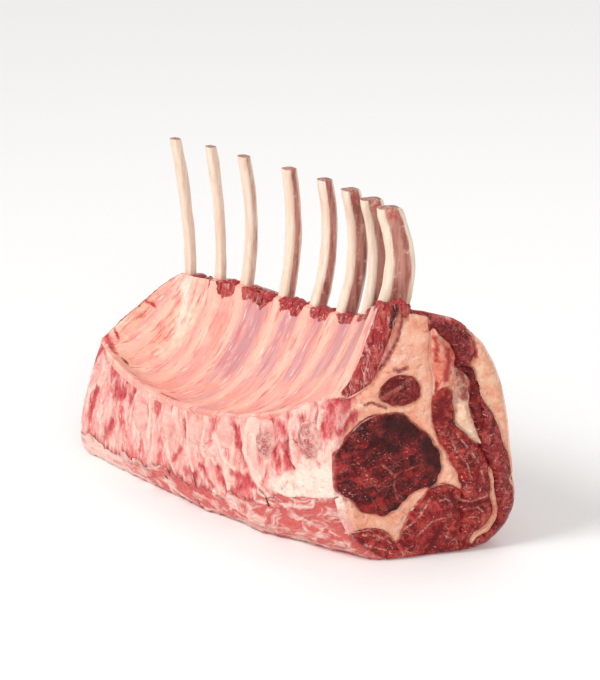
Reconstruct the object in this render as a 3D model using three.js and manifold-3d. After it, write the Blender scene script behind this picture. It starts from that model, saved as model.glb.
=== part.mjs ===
// A raw, frenched rack of lamb standing on its back: eight cleaned rib bones rise out of a block of
// loin, whose far end is the loin end and whose near end (+X) is the cut at the shoulder.
// Every layer that shows at the two cuts runs the whole length of the rack.
// Millimetres, +Z up, the sole at z = 0, the origin under the middle of the bounding box.
import * as THREE from "three";
import { mergeVertices } from "three/addons/utils/BufferGeometryUtils.js";
import Module from "manifold-3d";

const wasm = await Module();
wasm.setup();

// The rack's length, taken along the sawn backbone.
const CHINE_LENGTH = 177.5;

// Sizes that change along the rack: five values each, from the loin end to the shoulder cut.
// Insets are measured across the rack from the backbone's face, heights from the table.
const TURN_DEG = [0, 1, 5, 13.5, 24];
const CHINE_Y = [-55, -57, -57.5, -56, -52];
const RIDGE_INSET = [12, 3, 1, 1.5, 6];
const RIDGE_HEIGHT = [55, 50, 49, 57, 77];
const WALL_TOP_INSET = [59, 59, 56, 48, 22];
const WALL_TOP_HEIGHT = [79, 84, 87, 94, 115];
const WALL_TOP_WIDTH = [10, 10, 10, 11, 13];
const WALL_THICKNESS = [8, 7, 7, 8, 10];
const SCOOP_FLOOR_INSET = [22, 22, 26, 22, 12];
const SCOOP_FLOOR_HEIGHT = [34, 32, 42, 55, 83];
const SCOOP_SIDE_INSET = [52, 52, 46, 37, 16];
const SCOOP_SIDE_HEIGHT = [52, 50, 64, 73, 100];
const CROWN_INSET = [82, 84, 83, 79, 69];
const CROWN_HEIGHT = [76, 82, 84, 90, 105];
const SHOULDER_INSET = [92, 94, 93, 89, 79.5];
const SHOULDER_HEIGHT = [58, 62, 62, 66, 83];
const SIDE_INSET = [92, 94, 94, 91, 84.5];
const SIDE_HEIGHT = [32, 34, 32, 29, 28];
const SOLE_RIGHT_INSET = [70, 72, 72, 70, 63];
const SOLE_LEFT_INSET = [5, 6, 8, 12, 26];
const HEEL_INSET = [-8, -6, -5, -4, 1];
const HEEL_HEIGHT = [1, 1, 1, 2, 5];
const CHINE_BELLY_INSET = [-1, -1, -1, -2, -4];

// How far the sole would sag under the table it lies on, where its weight presses it flat.
const SOLE_SAG = 1.5;

// The straight rim at the loin end, past which the ribs' inner side is scooped out.
const RIM_SHARE = 0.14;

// Where the meat's inner and outer sides lie at both ends, at five levels from the sole up. The
// layers, drawn at the shoulder cut, keep their place between the two along the rack.
const INNER_NEAR = [4, 0, 3, 12, 30];
const INNER_FAR = [3, 5, 7, 38, 58];
const OUTER_NEAR = [78, 85, 78, 74, 40];
const OUTER_FAR = [86, 92, 92, 88, 66];
const LIKE_FAR_END = [1, 1, 0.97, 0.85, 0];

const GAP = 0.4;
const LOAF_SPANS = 20;
const LAYER_SPANS = 7;
const BAND_SPANS = 10;
const BAND_STEPS = 5;
const OVERHANG = 0.03;

// The ribs, from the loin end: where each leaves the wall, as a share of the backbone's length, how
// thick it is along the rack and how deep across the wall, how much of that depth is left at its
// tip, how far the tip lies in from the foot, the bow between them, and the height of the saw cut.
const RIBS = [
  { share: 0.04, thick: 5.4, deep: 4.6, taper: 0.95, tipInset: -8, bow: 2.2, tip: 148.5 },
  { share: 0.176, thick: 5.0, deep: 4.4, taper: 0.95, tipInset: -5, bow: 2.2, tip: 148.5 },
  { share: 0.286, thick: 5.8, deep: 5.2, taper: 0.9, tipInset: -1, bow: 4, tip: 147 },
  { share: 0.447, thick: 6.4, deep: 6.8, taper: 0.85, tipInset: 2, bow: 3.5, tip: 146.5 },
  { share: 0.567, thick: 6.2, deep: 7.4, taper: 0.8, tipInset: 4, bow: 5, tip: 146 },
  { share: 0.668, thick: 6.2, deep: 9.4, taper: 0.82, tipInset: 2, bow: 5.5, tip: 146 },
  { share: 0.785, thick: 6.0, deep: 11.2, taper: 0.85, tipInset: -1, bow: 5, tip: 147.5 },
  { share: 0.932, thick: 6.2, deep: 13.2, taper: 0.74, tipInset: -2, bow: 5, tip: 151 },
];
const RIB_COVER = 1.2;
const RIB_ROOT = 0.46;
const RIB_SIDES = 8;
const RIB_RINGS = 9;

// The sawn bodies of the backbone that show in its face: share of the length, and height.
const CHINE_BONES = [
  [0.293, 33],
  [0.413, 36],
  [0.53, 39],
  [0.646, 43],
  [0.789, 46.5],
  [0.93, 54],
];
const CHINE_BONE_SIZE = [5.6, 5, 8.5];
const CHINE_BONE_INSET = 0.5;

// The relief: how far the ribs swell under the lining, how deep the saw left the backbone, and how
// uneven the meat is between the ribs at the wall's top.
const RIB_SWELL = 1.3;
const SAW_GROOVE = 1.6;
const CRAG = 1.6;

// Outlines of the layers at the shoulder cut, as [inset, height].
const LOIN_EYE = [
  [1.5, 47], [8, 55], [12, 61], [19, 65.5], [29, 65.5], [38, 61], [46, 52], [51, 41], [48, 33],
  [38, 28.5], [29, 21], [21, 20.5], [11, 28.5], [3.5, 36],
];
const SIDE_MUSCLE = [[22, 73.5], [25, 80.5], [32, 82.5], [39.5, 79], [40.5, 72.5], [35, 69], [27, 70]];
const CAP_MUSCLE = [
  [52.7, 75.5], [55.2, 71], [55.5, 60.5], [60.3, 53.9], [66.5, 48.4], [71.5, 39.3], [73, 31.6],
  [73, 24], [74, 16.2], [70.3, 10.2], [63.9, 6.3], [59.8, -15], [59, 10], [59.5, 16.3],
  [57.8, 22.6], [59, 28], [57.8, 36.3], [53.5, 44.3], [49.3, 50.7], [46.2, 57.8], [45.6, 67.4],
  [48.7, 74.5],
];
const FAT_FLAP = [
  [44.3, 101], [48.5, 98.9], [53, 94.5], [55.3, 88], [55, 77], [52, 75.5], [47, 72], [45.2, 78],
];
const FAT_FINGER = [
  [55.7, 82.2], [59.6, 81.4], [61.7, 77.6], [62, 67.3], [64.5, 59], [68.6, 50.2], [67.2, 48.1],
  [61.1, 53.2], [55.7, 60.5], [55.4, 75],
];
const CAP_LEAF = [
  [56.3, 84.2], [60, 84.6], [64, 81], [66, 74.3], [68.3, 66.7], [68.8, 58.4], [66.7, 53],
  [64.3, 59], [62, 67], [61.8, 77.5],
];
const LOWER_MUSCLE = [
  [-40, 26], [-6, 22], [10, 17], [20, 16], [25.5, 14], [31, 6.8], [35, 14], [38.7, 22.5],
  [44, 28.8], [48.5, 32], [54, 32], [61, 26], [63, 18], [63, 8], [61, -20], [-40, -20],
];
const SEAM_FAT = [
  [71.7, 38], [75.6, 27.5], [76.8, 20.4], [76, 13.6], [71.5, 7.6], [65.3, 2.8], [61, -16],
  [48, -16], [50, 9], [62, 24],
];
const TOP_MUSCLE = [
  [38, 130], [43.5, 106], [44, 100], [49, 96], [53, 90], [55, 84], [60, 82], [63.7, 87],
  [63.8, 92], [62.4, 97.2], [61, 103], [68, 130],
];
const OUTER_FAT = [
  [60.5, 112], [61, 102], [62.6, 97.2], [62.5, 92], [61, 86], [62, 80], [66, 74.5],
  [69, 67], [72.6, 61.8], [76.2, 53.9], [79.6, 44.5], [83, 34.3], [85, 29], [130, 27], [130, 112],
];
const OUTER_MUSCLE = [
  [65, 83], [69, 74], [70, 66.6], [73, 61.8], [76.5, 54], [80, 44.5], [83, 34], [86, 27],
  [130, 25], [130, -20], [58, -20], [66, 6], [73, 14], [71, 34], [66, 48], [65, 58], [63, 74],
];

// A value from a list spread evenly along the rack, on a smooth curve through the list.
function along(list, share) {
  const last = list.length - 1;
  const at = Math.min(Math.max(share, 0), 1) * last;
  const i = Math.min(Math.floor(at), last - 1);
  const t = at - i;
  const b = list[i];
  const c = list[i + 1];
  const a = i > 0 ? list[i - 1] : 2 * b - c;
  const d = i < last - 1 ? list[i + 2] : 2 * c - b;
  return b + 0.5 * t * (c - a + t * (2 * a - 5 * b + 4 * c - d + t * (3 * (b - c) + d - a)));
}

// A point of the section at a share of the rack, which stands square to the row of ribs there.
function place(inset, height, share) {
  const turn = THREE.MathUtils.degToRad(along(TURN_DEG, share));
  const x = CHINE_LENGTH * (share - 0.5) + inset * Math.sin(turn);
  const y = along(CHINE_Y, share) + inset * Math.cos(turn);
  return new THREE.Vector3(x, y, height);
}

// The direction square to the section, towards the shoulder.
function squareTo(share) {
  const turn = THREE.MathUtils.degToRad(along(TURN_DEG, share));
  return new THREE.Vector3(Math.cos(turn), -Math.sin(turn), 0);
}

// A repeatable uneven value from -1 to 1 for a place on the surface.
function uneven(a, b) {
  const wave = Math.sin(a * 12.9898 + b * 78.233) * 43758.5453;
  return 2 * (wave - Math.floor(wave)) - 1;
}

// How near a share lies to the middle of a rib: 1 on it, 0 halfway to the next.
function onRib(share) {
  const away = Math.min(...RIBS.map((rib) => Math.abs(rib.share - share)));
  return Math.max(0, 1 - away / 0.06);
}

// The points of a curve by its four handles, without its end.
function bezier(handles, steps) {
  const [a, b, c, d] = handles.map(([u, z]) => new THREE.Vector2(u, z));
  return new THREE.CubicBezierCurve(a, b, c, d).getPoints(steps).slice(0, -1);
}

// The inner side of the rib cage in a section, from the ridge over the backbone to the wall's top.
function lining(share) {
  const ridge = [along(RIDGE_INSET, share), along(RIDGE_HEIGHT, share)];
  const top = [along(WALL_TOP_INSET, share), along(WALL_TOP_HEIGHT, share)];
  const straight = (t) => [ridge[0] + (top[0] - ridge[0]) * t, ridge[1] + (top[1] - ridge[1]) * t + 3];
  const deep = Math.min(share / RIM_SHARE, 1);
  const scooped = 1 - (1 - deep) ** 2;
  const mix = (from, to) => from.map((v, i) => v + (to[i] - v) * scooped);
  const floor = [along(SCOOP_FLOOR_INSET, share), along(SCOOP_FLOOR_HEIGHT, share)];
  const side = [along(SCOOP_SIDE_INSET, share), along(SCOOP_SIDE_HEIGHT, share)];
  return [ridge, mix(straight(0.33), floor), mix(straight(0.66), side), top];
}

function liningCurve(share) {
  const [a, b, c, d] = lining(share).map(([u, z]) => new THREE.Vector2(u, z));
  return new THREE.CubicBezierCurve(a, b, c, d);
}

// A point off the lining: outward is away from the meat, into the rib cage.
function offLining(curve, t, outward) {
  const at = curve.getPoint(t);
  const run = curve.getTangent(t);
  return [at.x - run.y * outward, at.y + run.x * outward];
}

// The whole rack's outline in a section, clockwise as seen from the shoulder cut.
function loafSection(share) {
  const value = (list) => along(list, share);
  const [ridge, , , top] = lining(share);
  const soleLeft = [value(SOLE_LEFT_INSET), 0];
  const soleRight = [value(SOLE_RIGHT_INSET), 0];
  const wallOuter = [top[0] + value(WALL_TOP_WIDTH), top[1] - 2];
  const side = [value(SIDE_INSET), value(SIDE_HEIGHT)];
  const heel = [value(HEEL_INSET), value(HEEL_HEIGHT)];
  const belly = [value(CHINE_BELLY_INSET), ridge[1] * 0.62];
  const crown = [value(CROWN_INSET), value(CROWN_HEIGHT)];
  const shoulder = [value(SHOULDER_INSET), value(SHOULDER_HEIGHT)];
  const sideLow = [side[0] + 1, side[1] * 0.4];
  const soleRise = [soleRight[0] + 14, 0];
  const outline = [];
  for (let i = 0; i < 5; i++) {
    const sag = SOLE_SAG * Math.sin((Math.PI * i) / 5);
    outline.push([soleRight[0] + ((soleLeft[0] - soleRight[0]) * i) / 5, -sag]);
  }
  bezier([soleLeft, heel, belly, ridge], 6).forEach((p, i) => {
    const inFace = Math.sin((Math.PI * i) / 6);
    const groove = SAW_GROOVE * inFace * (0.5 - onRib(share) + 0.5 * uneven(i, Math.round(share * 60)));
    outline.push([p.x + Math.max(groove, -SAW_GROOVE / 2), p.y]);
  });
  const curve = liningCurve(share);
  for (let i = 0; i < 9; i++) {
    const t = i / 9;
    outline.push(offLining(curve, t, RIB_SWELL * Math.sin(Math.PI * t) * (onRib(share) - 0.4)));
  }
  const crag = CRAG * (1 - onRib(share)) * uneven(3, Math.round(share * 60));
  outline.push([top[0], top[1] + crag]);
  outline.push([(top[0] + wallOuter[0]) / 2, top[1] + 1 + crag]);
  bezier([wallOuter, crown, shoulder, side], 8).forEach((p) => outline.push([p.x, p.y]));
  bezier([side, sideLow, soleRise, soleRight], 5).forEach((p) => outline.push([p.x, p.y]));
  return outline;
}

// A closed outline with its corners rounded, in a fixed number of points.
function rounded(points, count) {
  const path = new THREE.CatmullRomCurve3(
    points.map(([u, z]) => new THREE.Vector3(u, z, 0)),
    true,
    "catmullrom",
    0.5,
  );
  return path.getPoints(count).slice(0, -1).map((p) => [p.x, p.y]);
}

// An outline moved outwards by a distance, for the room that a neighbour leaves it.
function grown(points, distance) {
  const flat = points.map(([u, z]) => new THREE.Vector2(u, z));
  const way = Math.sign(THREE.ShapeUtils.area(flat));
  const normals = flat.map((p, i) => {
    const run = flat[(i + 1) % flat.length].clone().sub(p).normalize();
    return new THREE.Vector2(run.y * way, -run.x * way);
  });
  return flat.map((p, i) => {
    const before = normals[(i + flat.length - 1) % flat.length];
    const corner = before.clone().add(normals[i]).normalize();
    const reach = distance / Math.max(corner.dot(before), 0.5);
    return [p.x + corner.x * reach, p.y + corner.y * reach];
  });
}

// A layer's outline at a share of the rack, from its outline at the shoulder cut.
function layerSection(points, share) {
  const nearTop = WALL_TOP_HEIGHT[WALL_TOP_HEIGHT.length - 1];
  const top = along(WALL_TOP_HEIGHT, share);
  const likeFar = along(LIKE_FAR_END, share);
  return points.map(([u, z]) => {
    const level = z / nearTop;
    const inner = along(INNER_NEAR, level);
    const outer = along(OUTER_NEAR, level);
    const reach = (u - inner) / (outer - inner);
    const from = THREE.MathUtils.lerp(inner, along(INNER_FAR, level), likeFar);
    const to = THREE.MathUtils.lerp(outer, along(OUTER_FAR, level), likeFar);
    return [from + (to - from) * reach, level * top];
  });
}

// Triangles that fill an outline, wound the way that the outline runs.
function filled(flat) {
  const way = Math.sign(THREE.ShapeUtils.area(flat));
  return THREE.ShapeUtils.triangulateShape(flat, []).map(([a, b, c]) => {
    const turn = Math.sign(THREE.ShapeUtils.area([flat[a], flat[b], flat[c]]));
    return turn === way ? [a, b, c] : [a, c, b];
  });
}

// A closed mesh through rings of points, with both ends filled; flat gives the end rings in 2D.
function skin(rings, flatStart, flatEnd) {
  const sides = rings[0].length;
  const corner = rings.flat();
  const faces = [];
  for (let r = 0; r + 1 < rings.length; r++) {
    for (let i = 0; i < sides; i++) {
      const a = r * sides + i;
      const b = r * sides + ((i + 1) % sides);
      faces.push(a, a + sides, b, b, a + sides, b + sides);
    }
  }
  const lastRing = (rings.length - 1) * sides;
  for (const [a, b, c] of filled(flatStart)) faces.push(a, b, c);
  for (const [a, b, c] of filled(flatEnd)) faces.push(lastRing + a, lastRing + c, lastRing + b);
  const positions = new Float32Array(corner.length * 3);
  corner.forEach((p, i) => p.toArray(positions, i * 3));
  return solidFrom(positions, faces);
}

function solidFrom(positions, faces) {
  const make = (list) => {
    const mesh = new wasm.Mesh({ numProp: 3, vertProperties: positions, triVerts: new Uint32Array(list) });
    mesh.merge();
    return new wasm.Manifold(mesh);
  };
  const made = make(faces);
  if (made.volume() > 0) return made;
  const turned = [];
  for (let i = 0; i < faces.length; i += 3) turned.push(faces[i], faces[i + 2], faces[i + 1]);
  return make(turned);
}

function fromGeometry(geometry) {
  const bare = geometry.clone();
  bare.deleteAttribute("normal");
  bare.deleteAttribute("uv");
  const merged = mergeVertices(bare);
  return solidFrom(merged.attributes.position.array, Array.from(merged.index.array));
}

// A solid that follows the rack: outlineAt gives the outline at each share. With overhang it runs
// on straight past both ends.
function runThrough(outlineAt, spans, overhang = 0) {
  const shares = Array.from({ length: spans + 1 }, (_, i) => i / spans);
  if (overhang > 0) {
    shares.unshift(-overhang);
    shares.push(1 + overhang);
  }
  const outlines = shares.map(outlineAt);
  const rings = outlines.map((outline, i) => outline.map(([u, z]) => place(u, z, shares[i])));
  const flat = (outline) => outline.map(([u, z]) => new THREE.Vector2(u, z));
  return skin(rings, flat(outlines[0]), flat(outlines[outlines.length - 1]));
}

// A layer's solid, and the same with room round it.
function layer(points, count) {
  const outline = rounded(points, count);
  const make = (grow) =>
    runThrough((share) => grown(layerSection(outline, share), grow), LAYER_SPANS, OVERHANG);
  return { solid: make(0), room: make(GAP) };
}

// The band of meat under the lining that holds the ribs. It thins out towards the backbone.
function wallBand(grow) {
  const outlineAt = (share) => {
    const curve = liningCurve(share);
    const thick = along(WALL_THICKNESS, share);
    const inner = [];
    const outer = [];
    for (let i = 0; i <= BAND_STEPS; i++) {
      const t = i / BAND_STEPS;
      const thin = 0.3 + 0.7 * THREE.MathUtils.smoothstep(t, 0, 0.3);
      outer.push(offLining(curve, t, 7));
      inner.push(offLining(curve, t, -thick * thin - grow));
    }
    const [au, az] = inner[0];
    const [bu, bz] = inner[inner.length - 1];
    inner.unshift([au - 16, az]);
    inner.push([bu + 2, bz + 14]);
    return [...outer, ...inner.reverse()];
  };
  return runThrough(outlineAt, BAND_SPANS, OVERHANG);
}

// The line down the middle of a rib, as [inset, height] points from its root to its tip.
function ribLine({ share, deep, tipInset, bow, tip }) {
  const curve = liningCurve(share);
  const under = RIB_COVER + deep / 2;
  const points = [RIB_ROOT, 0.64, 0.82].map((t) => offLining(curve, t, -under));
  const [footInset, footHeight] = offLining(curve, 1, -under);
  for (const t of [0.12, 0.35, 0.57, 0.78, 1]) {
    points.push([
      footInset + tipInset * t + bow * 4 * t * (1 - t),
      footHeight + (tip - footHeight) * t,
    ]);
  }
  return points;
}

// A rib bone: flattened rings along its line, sawn off level at the tip.
function ribSolid(rib, grow) {
  const { share, thick, deep, taper, tip } = rib;
  const line = new THREE.CatmullRomCurve3(ribLine(rib).map(([u, z]) => new THREE.Vector3(u, z, 0)));
  const square = squareTo(share);
  const rings = [];
  for (let i = 0; i < RIB_RINGS; i++) {
    const t = i / (RIB_RINGS - 1);
    const at = line.getPointAt(t);
    const run = line.getTangentAt(t);
    const rooted = THREE.MathUtils.smoothstep(t, 0, 0.2);
    const left = THREE.MathUtils.lerp(1, taper, THREE.MathUtils.smoothstep(t, 0.5, 1));
    const halfDeep = (deep / 2) * (0.6 + 0.4 * rooted) * left + grow;
    const halfThick = (thick / 2) * (0.75 + 0.25 * rooted) + grow;
    const ring = [];
    for (let k = 0; k < RIB_SIDES; k++) {
      const angle = (2 * Math.PI * (k + 0.5)) / RIB_SIDES;
      const across = Math.cos(angle) * halfDeep;
      let inset = at.x + run.y * across;
      let height = at.y - run.x * across;
      if (i === 0) [inset, height] = [inset - run.x * grow, height - run.y * grow];
      if (i === RIB_RINGS - 1) {
        const short = (tip + grow - height) / run.y;
        [inset, height] = [inset + run.x * short, tip + grow];
      }
      const p = place(inset, height, share);
      ring.push(p.addScaledVector(square, Math.sin(angle) * halfThick));
    }
    rings.push(ring);
  }
  const flat = rings[0].map((_, k) => {
    const angle = (2 * Math.PI * (k + 0.5)) / RIB_SIDES;
    return new THREE.Vector2(Math.cos(angle), Math.sin(angle));
  });
  return skin(rings, flat, flat);
}

// A sawn body of the backbone: a lens set into the rack's face.
function chineBone([share, height], grow) {
  const [along_, in_, up] = CHINE_BONE_SIZE.map((size) => size + grow);
  const lens = new THREE.SphereGeometry(1, 9, 5);
  lens.scale(along_, in_, up);
  const at = place(CHINE_BONE_INSET, height, share);
  lens.translate(at.x, at.y, at.z);
  return fromGeometry(lens);
}

// The largest piece of a cut solid: thin scraps that a cut leaves are dropped.
function largest(solid) {
  const { vertProperties, triVerts, numProp } = solid.getMesh();
  const corner = (i) => new THREE.Vector3().fromArray(vertProperties, i * numProp);
  const head = Array.from({ length: vertProperties.length / numProp }, (_, i) => i);
  const find = (i) => {
    while (head[i] !== i) {
      head[i] = head[head[i]];
      i = head[i];
    }
    return i;
  };
  for (let t = 0; t < triVerts.length; t += 3) {
    head[find(triVerts[t + 1])] = find(triVerts[t]);
    head[find(triVerts[t + 2])] = find(triVerts[t]);
  }
  const pieces = new Map();
  for (let t = 0; t < triVerts.length; t += 3) {
    const [a, b, c] = triVerts.slice(t, t + 3);
    const piece = pieces.get(find(a)) ?? { volume: 0, faces: [] };
    piece.volume += corner(a).dot(corner(b).cross(corner(c))) / 6;
    piece.faces.push(a, b, c);
    pieces.set(find(a), piece);
  }
  if (pieces.size === 1) return solid;
  const { faces } = [...pieces.values()].reduce((a, b) => (a.volume > b.volume ? a : b));
  const used = [...new Set(faces)];
  const renumbered = new Map(used.map((old, i) => [old, i]));
  const positions = new Float32Array(used.length * 3);
  used.forEach((old, i) => corner(old).toArray(positions, i * 3));
  return solidFrom(positions, faces.map((old) => renumbered.get(old)));
}

const join = (solids) => solids.reduce((a, b) => a.add(b));

const above = new THREE.BoxGeometry(400, 400, 400);
above.translate(0, 0, 200);
const loaf = runThrough(loafSection, LOAF_SPANS).intersect(fromGeometry(above));
const ribSolids = RIBS.map((rib) => ribSolid(rib, 0));
const ribRoom = join(RIBS.map((rib) => ribSolid(rib, GAP)));
const wall = largest(loaf.intersect(wallBand(0)).subtract(ribRoom));
const wallRoom = wallBand(GAP).add(ribRoom);
const boneSolids = CHINE_BONES.map((bone) => chineBone(bone, 0).intersect(loaf).subtract(wallRoom));
const boneRoom = join(CHINE_BONES.map((bone) => chineBone(bone, GAP)));

// The layers in the order in which they take their room, each with how many points it is drawn by.
const layers = {
  loin_eye: [LOIN_EYE, 16],
  side_muscle: [SIDE_MUSCLE, 10],
  cap_muscle: [CAP_MUSCLE, 20],
  fat_flap: [FAT_FLAP, 9],
  fat_finger: [FAT_FINGER, 11],
  cap_leaf: [CAP_LEAF, 10],
  lower_muscle: [LOWER_MUSCLE, 16],
  seam_fat: [SEAM_FAT, 11],
  top_muscle: [TOP_MUSCLE, 12],
  outer_fat: [OUTER_FAT, 15],
  outer_muscle: [OUTER_MUSCLE, 17],
};

const solids = { rib_wall: wall };
let taken = wallRoom.add(boneRoom);
for (const [name, [points, count]] of Object.entries(layers)) {
  const { solid, room } = layer(points, count);
  solids[name] = largest(solid.intersect(loaf).subtract(taken));
  taken = taken.add(room);
}
solids.fat_body = largest(loaf.subtract(taken));
boneSolids.forEach((solid, i) => {
  solids[`chine_bone_${i + 1}`] = solid;
});
ribSolids.forEach((solid, i) => {
  solids[`rib_${i + 1}`] = solid;
});

// Colours of the raw meat, fat and bone.
const RAW_MUSCLE = { color: 0x8c2a2c, roughness: 0.42 };
const FAT = { color: 0xf2c6ac, roughness: 0.5 };
const finishes = {
  rib_wall: { color: 0xeeb0a0, roughness: 0.38 },
  loin_eye: { color: 0x641a1c, roughness: 0.4 },
  side_muscle: { color: 0x7c2a2c, roughness: 0.42 },
  cap_muscle: RAW_MUSCLE,
  fat_flap: { color: 0xee9f80, roughness: 0.45 },
  fat_finger: FAT,
  cap_leaf: RAW_MUSCLE,
  lower_muscle: RAW_MUSCLE,
  seam_fat: FAT,
  top_muscle: RAW_MUSCLE,
  outer_fat: { color: 0xefb295, roughness: 0.5 },
  outer_muscle: { color: 0x9c3c3e, roughness: 0.42 },
  fat_body: FAT,
};
const BONE = { color: 0xecd8c4, roughness: 0.5 };

const rack = new THREE.Group();
rack.name = "rack_of_lamb";
const bounds = new THREE.Box3();
for (const [name, solid] of Object.entries(solids)) {
  const { vertProperties, triVerts } = solid.getMesh();
  const geometry = new THREE.BufferGeometry();
  geometry.setAttribute("position", new THREE.BufferAttribute(vertProperties, 3));
  geometry.setIndex(new THREE.BufferAttribute(triVerts, 1));
  geometry.computeBoundingBox();
  bounds.union(geometry.boundingBox);
  const finish = finishes[name] ?? BONE;
  const mesh = new THREE.Mesh(geometry, new THREE.MeshStandardMaterial({ ...finish, metalness: 0 }));
  mesh.name = name;
  rack.add(mesh);
}

// The origin goes under the middle of the whole.
const middle = bounds.getCenter(new THREE.Vector3());
for (const { geometry } of rack.children) {
  geometry.translate(-middle.x, -middle.y, -bounds.min.z);
  geometry.computeVertexNormals();
}

export default rack;
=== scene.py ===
"""A raw, frenched rack of lamb: eight cleaned rib bones over a block of loin, dressed for rendering."""

import math

import bpy
import numpy as np
from mathutils import Matrix, Vector, geometry, noise


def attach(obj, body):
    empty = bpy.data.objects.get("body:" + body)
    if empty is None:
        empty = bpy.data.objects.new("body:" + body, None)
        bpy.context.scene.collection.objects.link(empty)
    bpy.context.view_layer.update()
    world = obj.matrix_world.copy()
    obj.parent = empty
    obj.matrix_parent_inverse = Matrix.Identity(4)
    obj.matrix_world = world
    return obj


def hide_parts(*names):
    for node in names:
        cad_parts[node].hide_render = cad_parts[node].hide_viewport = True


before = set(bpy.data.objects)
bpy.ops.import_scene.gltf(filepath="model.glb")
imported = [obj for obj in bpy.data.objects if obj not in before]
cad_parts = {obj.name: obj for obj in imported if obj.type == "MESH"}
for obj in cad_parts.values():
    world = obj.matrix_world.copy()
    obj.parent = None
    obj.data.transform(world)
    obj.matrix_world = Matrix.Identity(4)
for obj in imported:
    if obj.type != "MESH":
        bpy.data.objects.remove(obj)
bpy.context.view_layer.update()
bpy.ops.object.select_all(action="DESELECT")

# The block: the fat and gristle that hold the muscles together, with the backbone's sawn side on its
# left. Its ends are knife cuts. The bone saw left that side ragged, with meat, tendon and dry fat.

# The rack's length in mm, and its sizes at five places from the loin end to the shoulder cut.
LENGTH = 177.5
TURN = np.radians([0, 1, 5, 13.5, 24])
CHINE_Y = [-55, -57, -57.5, -56, -52]
MIDDLE = (-17.185, 11.175)
RIDGE = ([12, 3, 1, 1.5, 6], [55, 50, 49, 57, 77])
WALL_TOP = ([59, 59, 56, 48, 22], [79, 84, 87, 94, 115])
WALL_WIDTH = [10, 10, 10, 11, 13]
SCOOP_FLOOR = ([22, 22, 26, 22, 12], [34, 32, 42, 55, 83])
SCOOP_SIDE = ([52, 52, 46, 37, 16], [52, 50, 64, 73, 100])
CROWN = ([82, 84, 83, 79, 69], [76, 82, 84, 90, 105])
SHOULDER = ([92, 94, 93, 89, 79.5], [58, 62, 62, 66, 83])
SIDE = ([92, 94, 94, 91, 84.5], [32, 34, 32, 29, 28])
SOLE_RIGHT = [70, 72, 72, 70, 63]
SOLE_LEFT = [5, 6, 8, 12, 26]
HEEL = ([-8, -6, -5, -4, 1], [1, 1, 1, 2, 5])
CHINE_BELLY = [-1, -1, -1, -2, -4]
RIM_SHARE = 0.14
EDGE_ROUND = 1.0
CORNER_ROUND = 4.5
NEAR_END = 0.98
SUNK = 3.0
STATIONS = 210
BLOCK_SOLE = 0.6
# How many points of a section lie on each side of the block, round from the sole's right end.
ZONES = {"sole": 34, "chine": 104, "hidden": 26, "outer": 112, "foot": 44}


def spline(a, b, c, d, t):
    """A smooth curve from b to c at t from 0 to 1, led by the values before and after them."""
    return b + 0.5 * t * (c - a + t * (2 * a - 5 * b + 4 * c - d + t * (3 * (b - c) + d - a)))


def along(values, share):
    """A value from a list spread evenly along the rack, on a smooth curve through the list."""
    at = np.clip(np.asarray(share, float), 0, 1) * (len(values) - 1)
    i = np.minimum(at.astype(int), len(values) - 2)
    t = at - i
    v = np.array([2 * values[0] - values[1], *values, 2 * values[-1] - values[-2]])
    return spline(v[i], v[i + 1], v[i + 2], v[i + 3], t)


def pair(lists, share):
    """An inset and a height at a share of the rack."""
    return np.array([along(lists[0], share), along(lists[1], share)])


def place(inset, height, share):
    """Points in mm from insets across the rack, heights and shares of its length."""
    turn = along(TURN, share)
    x = LENGTH * (share - 0.5) + inset * np.sin(turn) + MIDDLE[0]
    y = along(CHINE_Y, share) + inset * np.cos(turn) + MIDDLE[1]
    return np.stack(np.broadcast_arrays(x, y, height), -1)


def bezier(handles, t):
    """Points and unit directions of a curve by its four handles."""
    a, b, c, d = handles
    t = np.asarray(t, float)[:, None]
    s = 1 - t
    point = a * s**3 + 3 * b * s * s * t + 3 * c * s * t * t + d * t**3
    run = (b - a) * s * s + 2 * (c - b) * s * t + (d - c) * t * t
    return point, run / np.linalg.norm(run, axis=1, keepdims=True)


def drawn(handles, count):
    """The points of a curve by its four handles, without its last one."""
    return bezier(handles, np.linspace(0, 1, count, endpoint=False))[0]


def lining(share):
    """The handles of the rib cage's inner side in a section, from the backbone's ridge to the top."""
    ridge, top = pair(RIDGE, share), pair(WALL_TOP, share)
    scooped = 1 - (1 - min(share / RIM_SHARE, 1)) ** 2
    low = ridge + (top - ridge) * 0.33 + (0, 3)
    high = ridge + (top - ridge) * 0.66 + (0, 3)
    floor, side = pair(SCOOP_FLOOR, share), pair(SCOOP_SIDE, share)
    return ridge, low + (floor - low) * scooped, high + (side - high) * scooped, top


def block_outline(share):
    """The block in a section: sole, sawn side, the hidden side under the wall, top and outer side."""
    ridge, _, _, top = handles = lining(share)
    left, right = np.array([along(SOLE_LEFT, share), 0]), np.array([along(SOLE_RIGHT, share), 0])
    over = top + (along(WALL_WIDTH, share), -2)
    side = pair(SIDE, share)
    sole = right + (left - right) * np.linspace(0, 1, ZONES["sole"], endpoint=False)[:, None]
    belly = np.array([along(CHINE_BELLY, share), ridge[1] * 0.62])
    chine = drawn([left, pair(HEEL, share), belly, ridge], ZONES["chine"])
    inner, run = bezier(handles, np.linspace(0.06, 1, ZONES["hidden"] - 2))
    inner = inner + np.stack([run[:, 1], -run[:, 0]], 1) * SUNK
    rim = top + (over - top) * np.array([0.3, 0.75])[:, None] + (0, -SUNK)
    outer = drawn([over + (0.8, -SUNK), pair(CROWN, share), pair(SHOULDER, share), side], ZONES["outer"])
    foot = drawn([side, side * (1, 0.4) + (1, 0), right + (14, 0), right], ZONES["foot"])
    return np.concatenate([sole, chine, inner, rim, outer, foot])


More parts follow.
